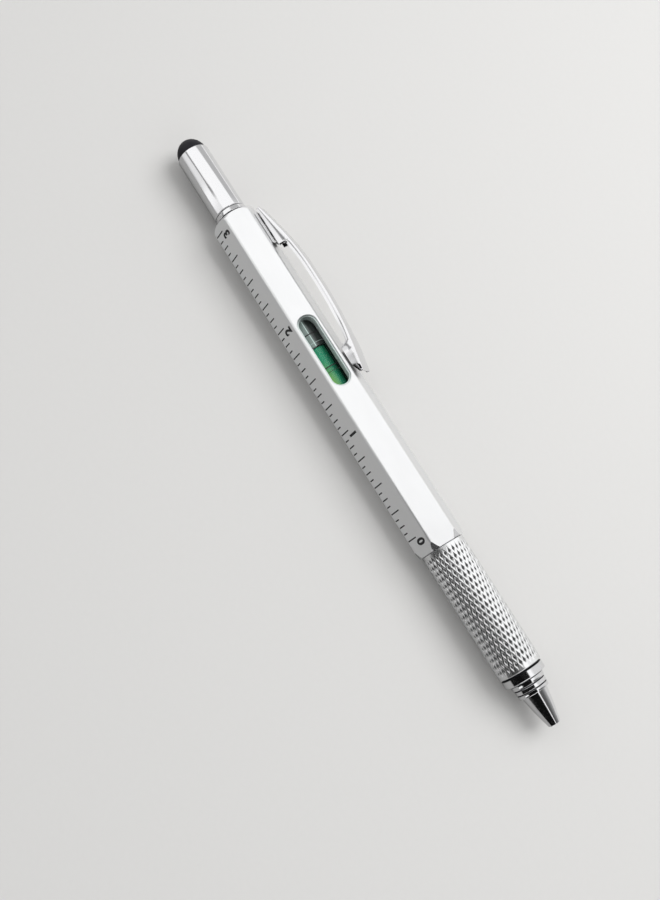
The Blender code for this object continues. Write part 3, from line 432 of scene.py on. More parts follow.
def hexBar(name, rear, front, across, edge=0.0):
    # a hexagonal bar, with the reach of its long edges' rounding
    clearSelection()
    bpy.ops.mesh.primitive_cylinder_add(vertices=6, radius=across / 2 / math.cos(hexTurn / 2) * mm,
                                        depth=(front - rear) * mm,
                                        location=((front + rear) / 2 * mm, 0, 0),
                                        rotation=(0, math.pi / 2, 0))
    bar = bpy.context.object
    bar.name = bar.data.name = name
    bpy.ops.object.transform_apply(location=True, rotation=True, scale=True)
    if edge:
        openMesh(bar)
        pick("EDGE", lambda item: abs(item.verts[0].co.x - item.verts[1].co.x) > mm)
        bpy.ops.mesh.bevel(offset=edge * math.tan(hexTurn / 2) * mm, segments=10, affect="EDGES")
        closeMesh()
    return bar


def slab(name, low, high):
    clearSelection()
    bpy.ops.mesh.primitive_cube_add(size=1, location=[(a + b) / 2 * mm for a, b in zip(low, high)],
                                    scale=[(b - a) * mm for a, b in zip(low, high)])
    piece = bpy.context.object
    piece.name = piece.data.name = name
    bpy.ops.object.transform_apply(location=True, rotation=True, scale=True)
    return piece


def roundedSlab(name, middle, length, width, low, high, steps=17):
    # an oblong block with half-round ends, which are pushed out in steps
    half, reach = width / 2, (length - width) / 2
    piece = slab(name, (middle - reach, -half, low), (middle + reach, half, high))
    openMesh(piece)
    for side in (-1, 1):
        pick("FACE", lambda face: face.normal.x * side > 0.9)
        for step in range(1, steps):
            before, after = (math.pi / 2 * part / steps for part in (step - 1, step))
            out = half * (math.sin(after) - math.sin(before)) * side
            bpy.ops.mesh.extrude_region_move(TRANSFORM_OT_translate={"value": (out * mm, 0, 0)})
            bpy.ops.transform.resize(value=(1, math.cos(after) / math.cos(before), 1))
    closeMesh()
    return piece


def threadOutline(x, stop, crest, depth, pitch):
    # a thread's crests, drawn as a zigzag that ends in its groove
    points = []
    while x < stop:
        points += [(x, crest - depth), (x + pitch / 2, crest)]
        x += pitch
    return points + [(x, crest - depth)]


# the hexagonal barrel with its level window
barrel = {"rear": -41.25, "front": 41.25, "acrossFlats": 9.6, "bore": 3.5, "edge": 0.6,
          "rearEnd": (2.2, 4.2), "rearRim": 0.12, "rearStart": 176, "frontEnd": (2.3, 5.08),
          "windowMiddle": -4.85, "windowLength": 17.1, "windowWidth": 4.4, "windowEdge": 0.12,
          "windowFloor": 1.5}


def makeBarrel(size):
    rear, front, bore = size["rear"], size["front"], size["bore"]
    past = 1  # how far the raw bar stands past both ends
    bar = hexBar("barrel_shell", rear - past, front + past, size["acrossFlats"], size["edge"])
    corner = size["acrossFlats"] / 2 / math.cos(hexTurn / 2) + 0.05
    rearCone, rearRadius = size["rearEnd"]
    frontCone, frontRadius = size["frontEnd"]
    outline = [(rear, 0), (rear, rearRadius - size["rearRim"])]
    outline += arc((rear + rearCone, rearRadius), (rearCone, corner - rearRadius), size["rearStart"], 90, 14)
    outline += [(front - frontCone, corner), (front, frontRadius), (front, 0)]
    cut(bar, turnPiece("end_form", outline, 144), "INTERSECT")
    low, high = rear - 2 * past, front + 2 * past
    cut(bar, turnPiece("bore_form", [(low, 0), (low, bore), (high, bore), (high, 0)]))
    middle, length, width = size["windowMiddle"], size["windowLength"], size["windowWidth"]
    cut(bar, roundedSlab("window_form", middle, length, width, size["windowFloor"], size["acrossFlats"]))
    openMesh(bar)
    top, half, reach = size["acrossFlats"] / 2, width / 2, (length - width) / 2
    near = 0.02

    def onWindowEdge(edge):
        # on the top flat and on the oblong's outline
        for x, y, z in (vert.co / mm for vert in edge.verts):
            away = math.hypot(max(0, abs(x - middle) - reach), y)
            if abs(z - top) > near / 2 or abs(away - half) > near:
                return False
        return True

    pick("EDGE", onWindowEdge)
    bpy.ops.mesh.bevel(offset=size["windowEdge"] * mm, segments=10, affect="EDGES")
    closeMesh()
    # the turned corners at the front are brighter metal
    cone = (front - frontCone) * mm
    paintFaces(bar, satin, turned,
               lambda face: 0.1 < face.normal.x < 0.5 and face.calc_center_median().x > cone)
    seat(bar)
    finishPiece(bar, satin, "satin_aluminium", "barrel", "hex_barrel", angle=9.5)


makeBarrel(barrel)
print("barrel made")


# the ruler on the flat beside the window
ruler = {"zeroAt": 37.1, "marks": 48, "pitch": 25.4 / 16, "inch": 25.4, "base": -2.45,
         "long": 2.5, "middle": 1.6, "short": 1.1, "lineWidth": 0.27, "sunk": 0.05, "proud": 0.012,
         "digitHeight": 1.95, "digitMiddle": 0.75, "digitAhead": 1.25, "digitBold": 0.13, "digitDepth": 0.03}
capShare = 0.7  # a digit's height as a share of the font's size


def makeRuler(size):
    face = barrel["acrossFlats"] / 2
    half = size["lineWidth"] / 2
    lines = []
    for index in range(size["marks"] + 1):
        length = size["long"] if index % 4 == 0 else size["middle"] if index % 2 == 0 else size["short"]
        x = size["zeroAt"] - index * size["pitch"]
        line = slab("ruler_line", (x - half, size["base"], face - size["sunk"]),
                    (x + half, size["base"] + length, face + size["proud"]))
        openMesh(line)
        pick("EDGE", lambda edge: abs(edge.verts[0].co.z - edge.verts[1].co.z) > 0.01 * mm)
        bpy.ops.mesh.bevel(offset=half * 0.6 * mm, segments=2, affect="EDGES")
        closeMesh()
        lines.append(line)
    clearSelection()
    for line in lines:
        line.select_set(True)
    bpy.context.view_layer.objects.active = lines[0]
    bpy.ops.object.join()
    lines[0].name = lines[0].data.name = "ruler_marks"
    seat(lines[0], hexTurn)
    finishPiece(lines[0], blackPaint, "black_plastic", "barrel")
    for digit in range(4):
        x = size["zeroAt"] - digit * size["inch"] + size["digitAhead"]
        clearSelection()
        bpy.ops.object.text_add(radius=1)
        text = bpy.context.object
        text.data.body = str(digit)
        text.data.size = size["digitHeight"] * mm / capShare
        text.data.align_x = "CENTER"
        text.data.align_y = "CENTER"
        text.data.offset = size["digitBold"] * mm
        text.data.extrude = size["digitDepth"] * mm
        text.data.resolution_u = 6
        height = face - size["digitDepth"] + size["proud"]
        text.location = (x * mm, size["digitMiddle"] * mm, height * mm)
        text.rotation_euler = (0, 0, math.pi)
        text.name = f"ruler_digit_{digit}"
        bpy.ops.object.convert(target="MESH")
        number = bpy.context.object
        bpy.ops.object.transform_apply(location=True, rotation=True, scale=True)
        openMesh(number)
        closeMesh()
        seat(number, hexTurn)
        finishPiece(number, blackPaint, "black_plastic", "barrel")


makeRuler(ruler)
print("ruler made")


# the spirit level: cradle, window liner, vial, plug, liquid and the black rings
level = {"rear": -13.9, "front": 5.1, "radius": 2.7, "bore": 2.0, "endWall": 1.2,
         "cradleRadius": 3.45, "cradleBore": 2.8, "cradleEnd": 1.9, "cradleRear": -14.4, "cradleEdge": 0.15,
         "mouth": 2.0, "plugSet": 0.3, "plugLength": 1.2, "bubble": 5.6, "gap": 0.05, "ringHeight": 0.03,
         "rings": ((-9.9, 0.24), (-1.8, 0.22), (-0.7, 0.1)),
         "linerWall": 0.28, "linerLow": 2.1, "linerHigh": 4.45, "linerGap": 0.06, "linerInset": 0.02,
         "rimEdge": 0.3, "floorEdge": 0.5, "insideEdge": 0.4, "plugEdge": 0.1, "meniscus": 0.25}


def makeCradle(size):
    rear, front, edge = size["rear"] - 0.1, size["front"] + 0.1, size["cradleEdge"]
    back, ahead, outer, inner = (size["cradleRear"], size["front"] + size["cradleEnd"], size["cradleRadius"],
                                 size["cradleBore"])
    cradle = turnPiece("level_cradle", [(back, 0), (back, outer - edge), (back + edge, outer),
                                        (ahead - edge, outer), (ahead, outer - edge), (ahead, 0)])
    cut(cradle, turnPiece("hollow_form", [(rear, 0), (rear, inner), (front, inner), (front, 0)]))
    wide = 6  # more than the cradle's radius
    cut(cradle, slab("mouth_form", (rear, -wide, size["mouth"]), (front, wide, wide)))
    seat(cradle)
    finishPiece(cradle, whitePlastic, "white_plastic", "barrel", "vial_cradle")


def makeLiner(size):
    # it stands up round the window and rests on the vial
    middle, inset = barrel["windowMiddle"], 2 * size["linerInset"]
    length, width = barrel["windowLength"] - inset, barrel["windowWidth"] - inset
    wall, low, high = size["linerWall"], size["linerLow"], size["linerHigh"]
    reach = size["radius"] + size["linerGap"]
    past = 1  # how far the cutting forms stand past the liner
    rear, front = size["rear"] - past, size["front"] + 2 * past
    sleeve = roundedSlab("level_liner", middle, length, width, low, high)
    cut(sleeve, roundedSlab("liner_form", middle, length - 2 * wall, width - 2 * wall,
                            low - past, high + past))
    cut(sleeve, turnPiece("vial_form", [(rear, 0), (rear, reach), (front, reach), (front, 0)]))
    seat(sleeve)
    finishPiece(sleeve, liner, "white_plastic", "barrel")


def makeVial(size):
    rear, front, radius, bore, gap = size["rear"], size["front"], size["radius"], size["bore"], size["gap"]
    floor = front - size["endWall"]
    rim, end, inner = size["rimEdge"], size["floorEdge"], size["insideEdge"]
    tube = turnPiece("vial_glass", [(rear, bore)] + arc((rear + rim, radius - rim), (rim, rim), 180, 90, 5)
                     + arc((front - end, radius - end), (end, end), 90, 0, 6) + [(front, 0), (floor, 0)]
                     + arc((floor - inner, bore - inner), (inner, inner), 0, 90, 5))
    seat(tube)
    finishPiece(tube, acrylic, "clear_acrylic", "barrel", "vial_tube")
    plugRear = rear + size["plugSet"]
    plugFront = plugRear + size["plugLength"]
    inside, edge = bore - gap, size["plugEdge"]
    plug = turnPiece("vial_stopper", [(plugRear, 0), (plugRear, inside - edge), (plugRear + edge, inside),
                                      (plugFront - edge, inside), (plugFront, inside - edge), (plugFront, 0)])
    seat(plug)
    finishPiece(plug, plugPlastic, "clear_acrylic", "barrel", "vial_plug")
    start = plugFront + size["bubble"]
    stop = floor - 2 * gap
    green = turnPiece("level_liquid", arc((start, 0), (inside * size["meniscus"], inside), 0, 90, 10)
                      + arc((stop - inner, inside - inner), (inner, inner), 90, 0, 5) + [(stop, 0)])
    seat(green)
    finishPiece(green, liquid, "green_liquid", "barrel", "vial_liquid")


def makeRings(size):
    low, high = size["radius"] + 0.005, size["radius"] + size["ringHeight"]
    for number, (place, width) in enumerate(size["rings"], 1):
        rear, front = place - width / 2, place + width / 2
        ring = turnPiece(f"level_ring_{number}", [(rear, low), (rear, high), (front, high), (front, low)])
        seat(ring)
        finishPiece(ring, blackPaint, "black_plastic", "barrel")


makeCradle(level)
makeLiner(level)
makeVial(level)
makeRings(level)
print("level made")


# the turned collar and bit holder behind the barrel, and the black ring between them, which is painted shade
# standing in for the shadowed gap
holder = {"collarRear": -42.85, "collarFront": -41.62, "rearRadius": 3.65, "frontRadius": 3.92,
          "rearEdge": 0.16, "frontEdge": 0.2, "spigotRear": -48.85, "spigot": 2.93,
          "startLength": 0.3, "startDrop": (0.35, 0.1), "threadStart": 0.5, "threadEnd": 0.6,
          "threadPitch": 0.5, "threadDepth": 0.16, "front": -26.25, "radius": 3.45,
          "socketFloor": -27.05, "socket": 4.1, "shadowRing": 4.02, "shadowRingGap": 0.02, "shadowRingEdge": 0.08}


def makeHolder(size):
    rear, spigot, depth = size["spigotRear"], size["spigot"], size["threadDepth"]
    collarRear, collarFront = size["collarRear"], size["collarFront"]
    rearEdge, frontEdge = size["rearEdge"], size["frontEdge"]
    firstDrop, lastDrop = size["startDrop"]
    outline = [(rear, 0), (rear, spigot - firstDrop), (rear + size["startLength"], spigot - lastDrop)]
    outline += threadOutline(rear + size["threadStart"], collarRear - size["threadEnd"], spigot, depth,
                             size["threadPitch"])
    outline += [(collarRear, spigot - depth)]
    outline += arc((collarRear + rearEdge, size["rearRadius"] - rearEdge), (rearEdge, rearEdge), 180, 90, 4)
    outline += arc((collarFront - frontEdge, size["frontRadius"] - frontEdge), (frontEdge, frontEdge),
                   80, 0, 4)
    outline += [(collarFront, size["radius"]), (size["front"], size["radius"]), (size["front"], 0)]
    piece = turnPiece("collar_holder", outline)
    cut(piece, hexBar("socket_form", rear - 1, size["socketFloor"], size["socket"]))
    seat(piece)
    finishPiece(piece, chrome, "chrome", "barrel", "bit_holder")


def makeSeal(size):
    # painted shade: a black rubber ring fills the gap between collar and barrel, where there is only shadow
    gap, edge, top = size["shadowRingGap"], size["shadowRingEdge"], size["shadowRing"]
    rear, front, low = size["collarFront"] + gap, barrel["rear"] - gap, size["radius"] + gap
    shadowRing = turnPiece("collar_shadow_ring", [(rear, low), (rear, top - edge)]
                     + arc((rear + edge, top - edge), (edge, edge), 180, 90, 3)
                     + arc((front - edge, top - edge), (edge, edge), 90, 0, 3) + [(front, low)])
    seat(shadowRing)
    finishPiece(shadowRing, rubber, "black_rubber", "barrel")


makeHolder(holder)
makeSeal(holder)


# the cap and the rubber stylus; the plug between them stays as built
cap = {"front": -42.95, "rear": -59.1, "radius": 3.65, "bore": 3.0, "plugRear": -57.95, "rimBore": 3.4,
       "rimEdge": 0.2, "mouthEdge": 0.18, "domeHeight": 3.7, "domeRadius": 3.35, "domeWall": 0.8,
       "domeSkirt": 0.1, "domeHole": 1.529}


def makeCap(size):
    front, rear, radius, plugRear = size["front"], size["rear"], size["radius"], size["plugRear"]
    rim, mouth = size["rimEdge"], size["mouthEdge"]
    outline = [(rear, size["rimBore"])] + arc((rear + rim, radius - rim), (rim, rim), 180, 90, 6)
    outline += arc((front - mouth, radius - mouth), (mouth, mouth), 90, 0, 4)
    outline += [(front, size["bore"]), (plugRear, size["bore"]), (plugRear, size["rimBore"])]
    sleeve = turnPiece("cap_tube", outline, 128)
    seat(sleeve)
    finishPiece(sleeve, chrome, "chrome", "cap", "cap_sleeve")


def makeDome(size):
    height, radius, wall, rear = size["domeHeight"], size["domeRadius"], size["domeWall"], size["rear"]
    skirt, lip = size["plugRear"] - size["domeSkirt"], size["domeHole"]
    outline = [(skirt, lip), (skirt, radius)] + arc((rear, 0), (-height, radius), 90, 0, 24)
    outline += arc((rear, 0), (wall - height, radius - wall), 0, 90, 12) + [(rear, lip)]
    tip = turnPiece("stylus_dome", outline)
    seat(tip)
    finishPiece(tip, rubber, "black_rubber", "cap", "stylus_tip", angle=50)


makeCap(cap)
makeDome(cap)
print("cap end made")


# the sprung clip, folded from one strip
clip = {"start": -39.45, "length": 42.3, "bow": 4.2, "width": 4.6, "sheet": 0.45, "lip": 0.8, "edge": 0.25,
        "head": 9.8, "headStandoff": 0.98, "foot": 6.45, "footFlat": 4.4, "footStandoff": 0.42,
        "footRise": 0.7, "slant": 0.6, "bulge": 0.1, "stations": 64, "endEdge": 0.06,
        "slot": (40.95, 41.95, 1.63, 0.4), "slotWall": 0.35,
        "widths": ((0.0, 0.6), (0.24, 0.62), (0.45, 0.6), (0.68, 0.62), (0.8, 0.75), (0.87, 1.0),
                   (0.93, 1.0), (1.0, 0.97)),
        "heights": ((0.0, 0.42), (0.12, 0.67), (0.23, 0.86), (0.35, 0.98), (0.47, 1.0), (0.6, 0.97),
                    (0.73, 0.87), (0.85, 0.73), (0.92, 0.6), (1.0, 0.44))}
rowDrop = 10  # the fold's rows start this far below each other, mm, which tells them apart
rowReach = (4, 6)  # a row's points lie this far below and above its own height


def alongTable(table, place):
    # a smooth curve through a table of (place, value)
    index = 0
    while index < len(table) - 2 and place > table[index + 1][0]:
        index += 1
    (start, first), (stop, second) = table[index], table[index + 1]
    before, after = table[max(index - 1, 0)], table[min(index + 2, len(table) - 1)]
    span = stop - start
    slopeIn = (second - before[1]) / (stop - before[0]) * span
    slopeOut = (after[1] - first) / (after[0] - start) * span
    t = (place - start) / span
    return ((2 * t**3 - 3 * t**2 + 1) * first + (t**3 - 2 * t**2 + t) * slopeIn
            + (3 * t**2 - 2 * t**3) * second + (t**3 - t**2) * slopeOut)


def clipUnderside(size, x):
    # the height of the side walls' lower edge above the barrel's face
    strap = alongTable(size["heights"], x / size["length"]) * size["bow"] - size["sheet"] - size["lip"]
    footStart = size["length"] - size["foot"]
    if x <= size["head"]:
        return size["headStandoff"]
    if x < size["head"] + size["slant"]:
        rise = (x - size["head"]) / size["slant"]
        return size["headStandoff"] + (strap - size["headStandoff"]) * math.sqrt(rise * (2 - rise))
    if x <= footStart - size["slant"]:
        return strap
    if x < footStart:
        return strap + (size["footStandoff"] - strap) * (x - footStart + size["slant"]) / size["slant"]
    if x <= footStart + size["footFlat"]:
        return size["footStandoff"]
    tail = (x - footStart - size["footFlat"]) / (size["foot"] - size["footFlat"])
    return size["footStandoff"] + size["footRise"] * tail


def clipPlaces(size):
    # the stations along the clip, closer together where the lower edge steps up and down
    footStart, margin = size["length"] - size["foot"], 0.3
    headEnd, footSlant = size["head"] + size["slant"], footStart - size["slant"]
    places = [size["length"] * step / size["stations"] for step in range(size["stations"] + 1)]
    places = [x for x in places if not size["head"] - margin < x < headEnd + margin
              and not footSlant - margin < x < footStart + margin]
    places += [size["head"] + size["slant"] * share for share in (0, 0.05, 0.15, 0.3, 0.5, 0.75, 1)]
    return sorted({*places, footSlant, footStart, footStart + size["footFlat"]})


def makeClip(size):
    face = barrel["acrossFlats"] / 2
    places = clipPlaces(size)

    def half(x):
        return alongTable(size["widths"], x / size["length"]) * size["width"] / 2

    def top(x):
        return alongTable(size["heights"], x / size["length"]) * size["bow"]

    # the ribbon: one edge across, drawn out along the stations
    clearSelection()
    bpy.ops.mesh.primitive_plane_add(size=mm)
    piece = bpy.context.object
    piece.name = piece.data.name = "clip_spring"
    bpy.ops.object.mode_set(mode="EDIT")
    pick("VERT", lambda vert: vert.co.x > 0)
    bpy.ops.mesh.delete(type="VERT")
    bpy.ops.mesh.select_all(action="SELECT")
    bpy.ops.transform.resize(value=(1, 2 * half(0), 1), center_override=(0, 0, 0))
    bpy.ops.transform.translate(value=(0.5 * mm, 0, top(0) * mm))
    for x, nextX in zip(places, places[1:]):
        step = ((nextX - x) * mm, 0, (top(nextX) - top(x)) * mm)
        bpy.ops.mesh.extrude_region_move(TRANSFORM_OT_translate={"value": step})
        bpy.ops.transform.resize(value=(1, half(nextX) / half(x), 1), center_override=(0, 0, 0))
    # both long sides and the head's end are folded down
    near = 0.01 * mm
    foldAngle = 0.9  # edges bent more than this are rounded, radians

    def onBorder(edge):
        flat = abs(edge.verts[0].co.x - edge.verts[1].co.x) < near
        return edge.is_boundary and not (flat and edge.verts[0].co.x > mm)

    pick("EDGE", onBorder)
    for row in (1, 2):
        bpy.ops.mesh.extrude_region_move(TRANSFORM_OT_translate={"value": (0, 0, -rowDrop * mm)})
    for x in places:
        under = clipUnderside(size, x)
        for row, height in ((2, under), (1, (under + top(x)) / 2)):
            low, high = (-row * rowDrop - rowReach[0]) * mm, (-row * rowDrop + rowReach[1]) * mm
            pick("VERT", lambda vert: abs(vert.co.x - x * mm) < near and low < vert.co.z < high)
            swell = 1 + size["bulge"] / half(x) if row == 1 else 1
            bpy.ops.transform.resize(value=(1, swell, 0), center_override=(0, 0, height * mm))

    def onFold(edge):
        if edge.is_boundary or len(edge.link_faces) != 2:
            return False
        return edge.calc_face_angle(0) > foldAngle and min(vert.co.z for vert in edge.verts) > -mm

    pick("EDGE", onFold)
    bpy.ops.mesh.bevel(offset=size["edge"] * mm, segments=4, affect="EDGES", clamp_overlap=True)
    bpy.ops.mesh.select_all(action="SELECT")
    bpy.ops.mesh.remove_doubles(threshold=mergeReach)
    bpy.ops.mesh.normals_make_consistent(inside=False)
    bpy.ops.transform.translate(value=(size["start"] * mm, 0, face * mm))
    bpy.ops.object.mode_set(mode="OBJECT")
    piece.data.materials.append(chrome)
    piece.data.materials.append(paintedShadeMetal)  # painted shade: the folded strip is dark inside
    applyModifier(piece, "SOLIDIFY", "sheet", thickness=size["sheet"] * mm, offset=-1, use_even_offset=True,
                  material_offset=1)
    slotRear, slotFront, slotMiddle, slotHeight = size["slot"]
    depth = size["width"] / 2 - size["slotWall"]
    tool = roundedSlab("slot_form", 0, slotFront - slotRear, slotHeight, depth, 6)
    # painted shade on the slot's walls
    paintFaces(tool, chrome, paintedShadeMetal, lambda face: True)
    openMesh(tool)
    place = (size["start"] + (slotRear + slotFront) / 2, 0, face + slotMiddle)
    bpy.ops.transform.rotate(value=math.radians(-90), orient_axis="X", center_override=(0, 0, 0))
    bpy.ops.transform.translate(value=[part * mm for part in place])
    closeMesh()
    cut(piece, tool, use_self=True)  # the folded sheet crosses itself in its corners
    applyModifier(piece, "BEVEL", "edges", width=size["endEdge"] * mm, segments=2, limit_method="ANGLE",
                  angle_limit=math.radians(50))
    seat(piece, -hexTurn)
    finishPiece(piece, chrome, "chrome", "clip", "clip_arm", angle=40)


makeClip(clip)
print("clip made")


# the knurled grip
grip = {"rear": 41.35, "front": 69.25, "radius": 4.66, "bore": 3.27, "columns": 30, "rows": 10,
        "band": 0.16, "endEdge": 0.1, "pits": ((0.11, 0.02), (0.13, 0.07), (0.11, 0.15))}


def makeGrip(size):
    length = size["front"] - size["rear"] - 2 * size["band"]
    middle = (size["front"] + size["rear"]) / 2
    clearSelection()
    bpy.ops.mesh.primitive_cylinder_add(vertices=size["columns"], radius=size["radius"] * mm,
                                        depth=length * mm, location=(middle * mm, 0, 0),
                                        rotation=(0, math.pi / 2, 0))
    piece = bpy.context.object
    piece.name = piece.data.name = "grip_sleeve"
    bpy.ops.object.transform_apply(location=True, rotation=True, scale=True)
    openMesh(piece)
    pick("EDGE", lambda edge: abs(edge.verts[0].co.x - edge.verts[1].co.x) > mm)
    bpy.ops.mesh.subdivide(number_cuts=size["rows"] - 1)
    # every cell gets a centre, and its old sides go, which leaves staggered diamonds
    pick("FACE", lambda face: abs(face.normal.x) < 0.5)
    bpy.ops.mesh.poke()
    near = 0.01

    def oldSide(edge):
        # between two corners of the old cells, but not round the two ends
        one, two = (vert.co / mm for vert in edge.verts)
        if min(math.hypot(point.y, point.z) for point in (one, two)) < size["radius"] - 0.002:
            return False
        return abs(one.x - two.x) > near or length / 2 - abs(one.x - middle) > near

    pick("EDGE", oldSide)
    bpy.ops.mesh.dissolve_edges(use_verts=False)
    pick("FACE", lambda face: abs(face.normal.x) < 0.5 and len(face.verts) == 4)
    for width, depth in size["pits"]:
        bpy.ops.mesh.inset(thickness=width * mm, depth=-depth * mm, use_individual=True)
    # plain rims at both ends, then the bore
    edge = size["endEdge"]
    small = 1 - edge / size["radius"]
    for side in (-1, 1):
        pick("FACE", lambda face: face.normal.x * side > 0.9)
        for out in (size["band"] - edge, edge):
            bpy.ops.mesh.extrude_region_move(TRANSFORM_OT_translate={"value": (side * out * mm, 0, 0)})
        bpy.ops.transform.resize(value=(1, small, small), center_override=(0, 0, 0))
        bpy.ops.mesh.inset(thickness=(size["radius"] - edge - size["bore"]) * mm)
    pick("FACE", lambda face: abs(face.normal.x) > 0.9 and len(face.verts) == size["columns"])
    bpy.ops.mesh.bridge_edge_loops()
    closeMesh()
    seat(piece)
    finishPiece(piece, knurled, "satin_aluminium", "grip", "knurled_grip", angle=32)


makeGrip(grip)
print("grip made")


# the nose with its stacked rings and long point
nose = {"rear": 69.35, "length": 11.9, "radius": 4.5, "thread": 6.5, "threadRadius": 3.22, "threadBore": 2.32,
        "threadPitch": 0.5, "threadDepth": 0.14, "threadEdge": 0.2, "threadEnd": 0.9,
        "bore": 1.255, "hole": 0.68, "holeLength": 1.0, "innerCone": 1.2,
        "grooves": ((-0.001, 0.0255), (0.164, 0.176), (0.2485, 0.2685), (0.3305, 0.3505)),
        "shares": ((0.0, 0.93), (0.024, 0.93), (0.026, 0.98), (0.031, 1.0), (0.142, 1.0), (0.15, 0.985),
                   (0.157, 0.94), (0.163, 0.85), (0.17, 0.805), (0.178, 0.79), (0.235, 0.79), (0.244, 0.78),
                   (0.248, 0.765), (0.249, 0.7), (0.268, 0.7), (0.269, 0.74), (0.273, 0.75), (0.326, 0.75),
                   (0.33, 0.742), (0.331, 0.69), (0.35, 0.69), (0.351, 0.726), (0.355, 0.735), (0.4, 0.735),
                   (0.408, 0.725), (0.413, 0.7), (0.415, 0.62), (0.7, 0.478), (0.993, 0.29), (1.0, 0.255))}


def makeNose(size):
    rear, length, radius = size["rear"], size["length"], size["radius"]
    start, crest, depth = rear - size["thread"], size["threadRadius"], size["threadDepth"]
    front = rear + length
    holeRear = front - size["holeLength"]
    edge = size["threadEdge"]
    outline = [(start, size["threadBore"]), (start, crest - edge)]
    outline += threadOutline(start + edge, rear - size["threadEnd"], crest, depth, size["threadPitch"])
    outline += [(rear, crest - depth)]
    outline += [(rear + share * length, part * radius) for share, part in size["shares"]]
    outline += [(front, size["hole"]), (holeRear, size["hole"]), (holeRear - size["innerCone"], size["bore"]),
                (rear, size["bore"]), (rear, size["threadBore"])]
    piece = turnPiece("nose_point", outline, 128)

    def inGroove(face):
        middle = face.calc_center_median() / mm
        share = (middle.x - rear) / length
        outside = math.hypot(middle.y, middle.z) > 0.6 * radius
        return outside and any(low < share < high for low, high in size["grooves"])

    # painted shade in the grooves between the rings
    paintFaces(piece, chrome, paintedShadeMetal, inGroove)
    seat(piece)
    finishPiece(piece, chrome, "chrome", "grip", "nose_cone", angle=30)


makeNose(nose)
print("nose made")


# the pieces that keep their own solids get their finishes here
keptFinishes = {
    "bit_magnet": steel, "cam_tube": steel, "clip_base": baseMetal, "clip_rivet_1": steel,
    "clip_rivet_2": steel, "screwdriver_bit": steel, "stylus_plug": steel, "guide_tube": whitePlastic,
    "friction_ring": rubber, "plunger": blackPlastic, "cross_pin": steel, "refill_tube": brass,
    "refill_ink": inkPaste, "refill_point": brass, "refill_ball": steel,
}
for name, material in keptFinishes.items():
    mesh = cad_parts[name].data
    mesh.materials.clear()
    mesh.materials.append(material)
print("kept pieces finished")


# the floor, the light, the camera and the room that the metal mirrors
studio = {"floorSize": 3, "floorColour": (0.63, 0.625, 0.615), "floorShade": 0.55,
          "keyPower": 1.8, "keySize": 0.35, "keyPlace": (0.05, 0.30, 0.42),
          "cameraPlace": (0.047, -0.0513218, 0.1877373), "cameraTurn": (15.56347, -5.69343, 58.39795),
          "lens": 37.54839, "sensor": 36, "clipStart": 0.01}
room = {"sky": 1.2, "nearSide": 0.004, "farLow": 0.1, "farHigh": 0.4, "capSide": 0.56, "leftSide": 0.95,
        "leftDim": 0.65, "seam": 0.3, "ringShade": 0.35, "backdrop": 0.8}
# the edges of each wall in one axis of the viewed direction, with their softness
edges = {"nearY": (0.13, 0.05), "nearLeft": (0.0, 0.12), "nearRight": (0.74, 0.06),
         "leanY": (-0.45, 0.2), "leanZ": (0.05, 0.2),
         "gapLeft": (0.24, 0.06), "gapRight": (0.4, 0.05), "gapTop": (0.45, 0.08),
         "farY": (0.27, 0.05), "farLeft": (0.38, 0.08), "farRight": (0.74, 0.06), "farTop": (0.4, 0.5),
         "ringY": (0.5, 0.2), "ringLeft": (0.08, 0.06),
         "capY": (0.1, 0.2), "capRight": (-0.25, 0.16), "capTop": (0.63, 0.05), "capFoot": (0.08, 0.08),
         "leftY": (-0.55, 0.05), "leftRight": (-0.1, 0.2), "leftFoot": (0.1, 0.25),
         "slitStart": (-0.41, 0.04), "slitEnd": (-0.3, 0.06),
         "seamWiden": (-0.41, 0.02), "seamSide": (1.0, 0.6), "seamEnd": (-0.34, 0.04)}
leanReach = 0.16
seamShift, seamNarrow, seamWide = 0.57, 20, 10


def aim(item, target):
    item.rotation_euler = (Vector(target) - item.location).to_track_quat("-Z", "Y").to_euler()


def makeFloor(size):
    clearSelection()
    bpy.ops.mesh.primitive_plane_add(size=size["floorSize"])
    floor = bpy.context.object
    floor.name = "floor"
    finish = Finish("floor_paper")
    colour = size["floorColour"]
    fleck = finish.noise(finish.place(), 900.0, 3.0)
    paper = finish.mix(fleck, colour, scaled(colour, 0.98))
    # painted shade: on the near side the metal mirrors a darker floor than the camera sees
    farSide = finish.axes(finish.place())[1].above(0, 0.01)
    seen = finish.node("ShaderNodeLightPath", output=0)
    mask = seen + farSide * (1 - seen)
    finish.put("Base Color", finish.mix(mask, scaled(colour, size["floorShade"]), paper))
    finish.put("Roughness", 0.75 + fleck * 0.1)
    floor.data.materials.append(finish.material)


def makeKey(size):
    clearSelection()
    bpy.ops.object.light_add(type="AREA", location=size["keyPlace"])
    key = bpy.context.object
    key.data.energy = size["keyPower"]
    key.data.size = size["keySize"]
    key.visible_glossy = False
    aim(key, (0, 0, 0))


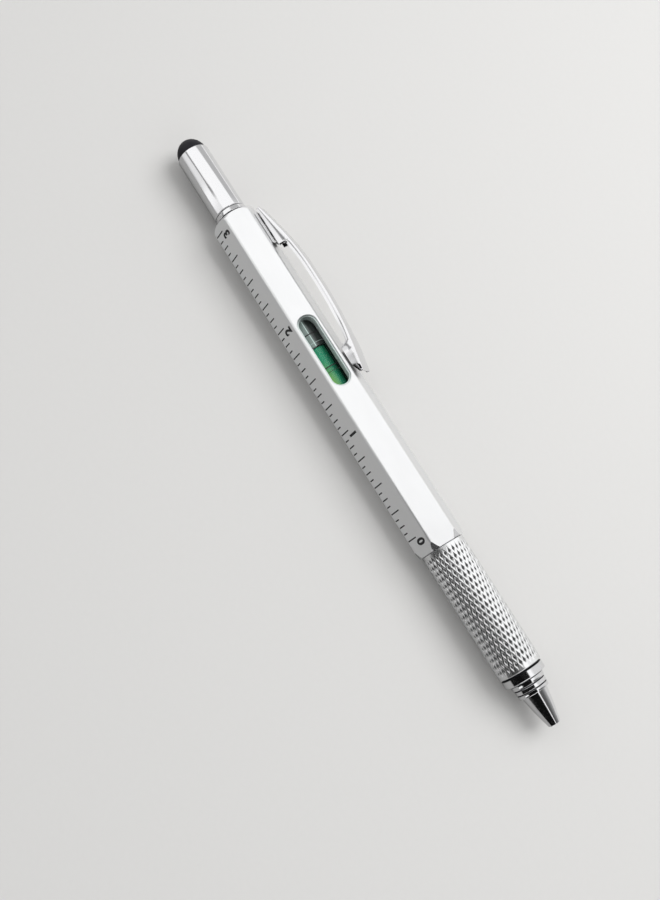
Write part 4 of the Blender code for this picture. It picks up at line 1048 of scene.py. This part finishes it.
def makeRoom(tone):
    # a white ceiling, a dark near side and grey walls
    world = bpy.data.worlds.new("studio")
    bpy.context.scene.world = world
    world.use_nodes = True
    graph = Graph(world.node_tree)
    x, y, z = graph.axes(graph.node("ShaderNodeTexCoord"))

    def over(axis, edge):
        return axis.above(*edges[edge])

    def under(axis, edge):
        return 1 - over(axis, edge)

    lean = leanReach * under(y, "leanY") * over(z, "leanZ")
    gap = over(x, "gapLeft") * under(x, "gapRight") * under(z, "gapTop")
    near = under(y, "nearY") * over(x + lean, "nearLeft") * under(x, "nearRight") * (1 - gap)
    far = over(y, "farY") * over(x, "farLeft") * under(x, "farRight")
    ringShade = over(y, "ringY") * over(x, "ringLeft") * tone["ringShade"]
    capWall = over(y, "capY") * under(x, "capRight") * under(z, "capTop") * over(z, "capFoot")
    slit = over(x, "slitStart") * under(x, "slitEnd")
    leftWall = under(y, "leftY") * under(x, "leftRight") * (1 - slit)
    seamShare = ((y + seamShift) * (seamNarrow - seamWide * over(x, "seamWiden"))).math("ABSOLUTE")
    seam = under(seamShare, "seamSide") * under(x, "seamEnd")
    farLevel = tone["farLow"] + (tone["farHigh"] - tone["farLow"]) * under(z, "farTop")
    left = tone["leftSide"] * (tone["leftDim"] + (1 - tone["leftDim"]) * over(z, "leftFoot"))
    level = tone["sky"] * (1 - ringShade) * (1 - leftWall) + left * leftWall
    for mask, value in ((capWall, tone["capSide"]), (seam, tone["seam"]), (near, tone["nearSide"])):
        level = level * (1 - mask) + value * mask
    level = level * (1 - far) + farLevel * far
    seen = graph.node("ShaderNodeLightPath", output=0)
    background = world.node_tree.nodes["Background"]
    background.inputs["Color"].default_value = (1, 1, 1, 1)
    graph.fill(background.inputs["Strength"], level * (1 - seen) + tone["backdrop"] * seen)


def makeCamera(size):
    clearSelection()
    bpy.ops.object.camera_add(location=size["cameraPlace"],
                              rotation=[math.radians(turn) for turn in size["cameraTurn"]])
    camera = bpy.context.object
    camera.data.lens = size["lens"]
    camera.data.sensor_width = size["sensor"]
    camera.data.clip_start = size["clipStart"]
    bpy.context.scene.camera = camera
    bpy.context.scene.view_settings.view_transform = "Standard"


makeFloor(studio)
makeKey(studio)
makeRoom(room)
makeCamera(studio)
print("studio ready")
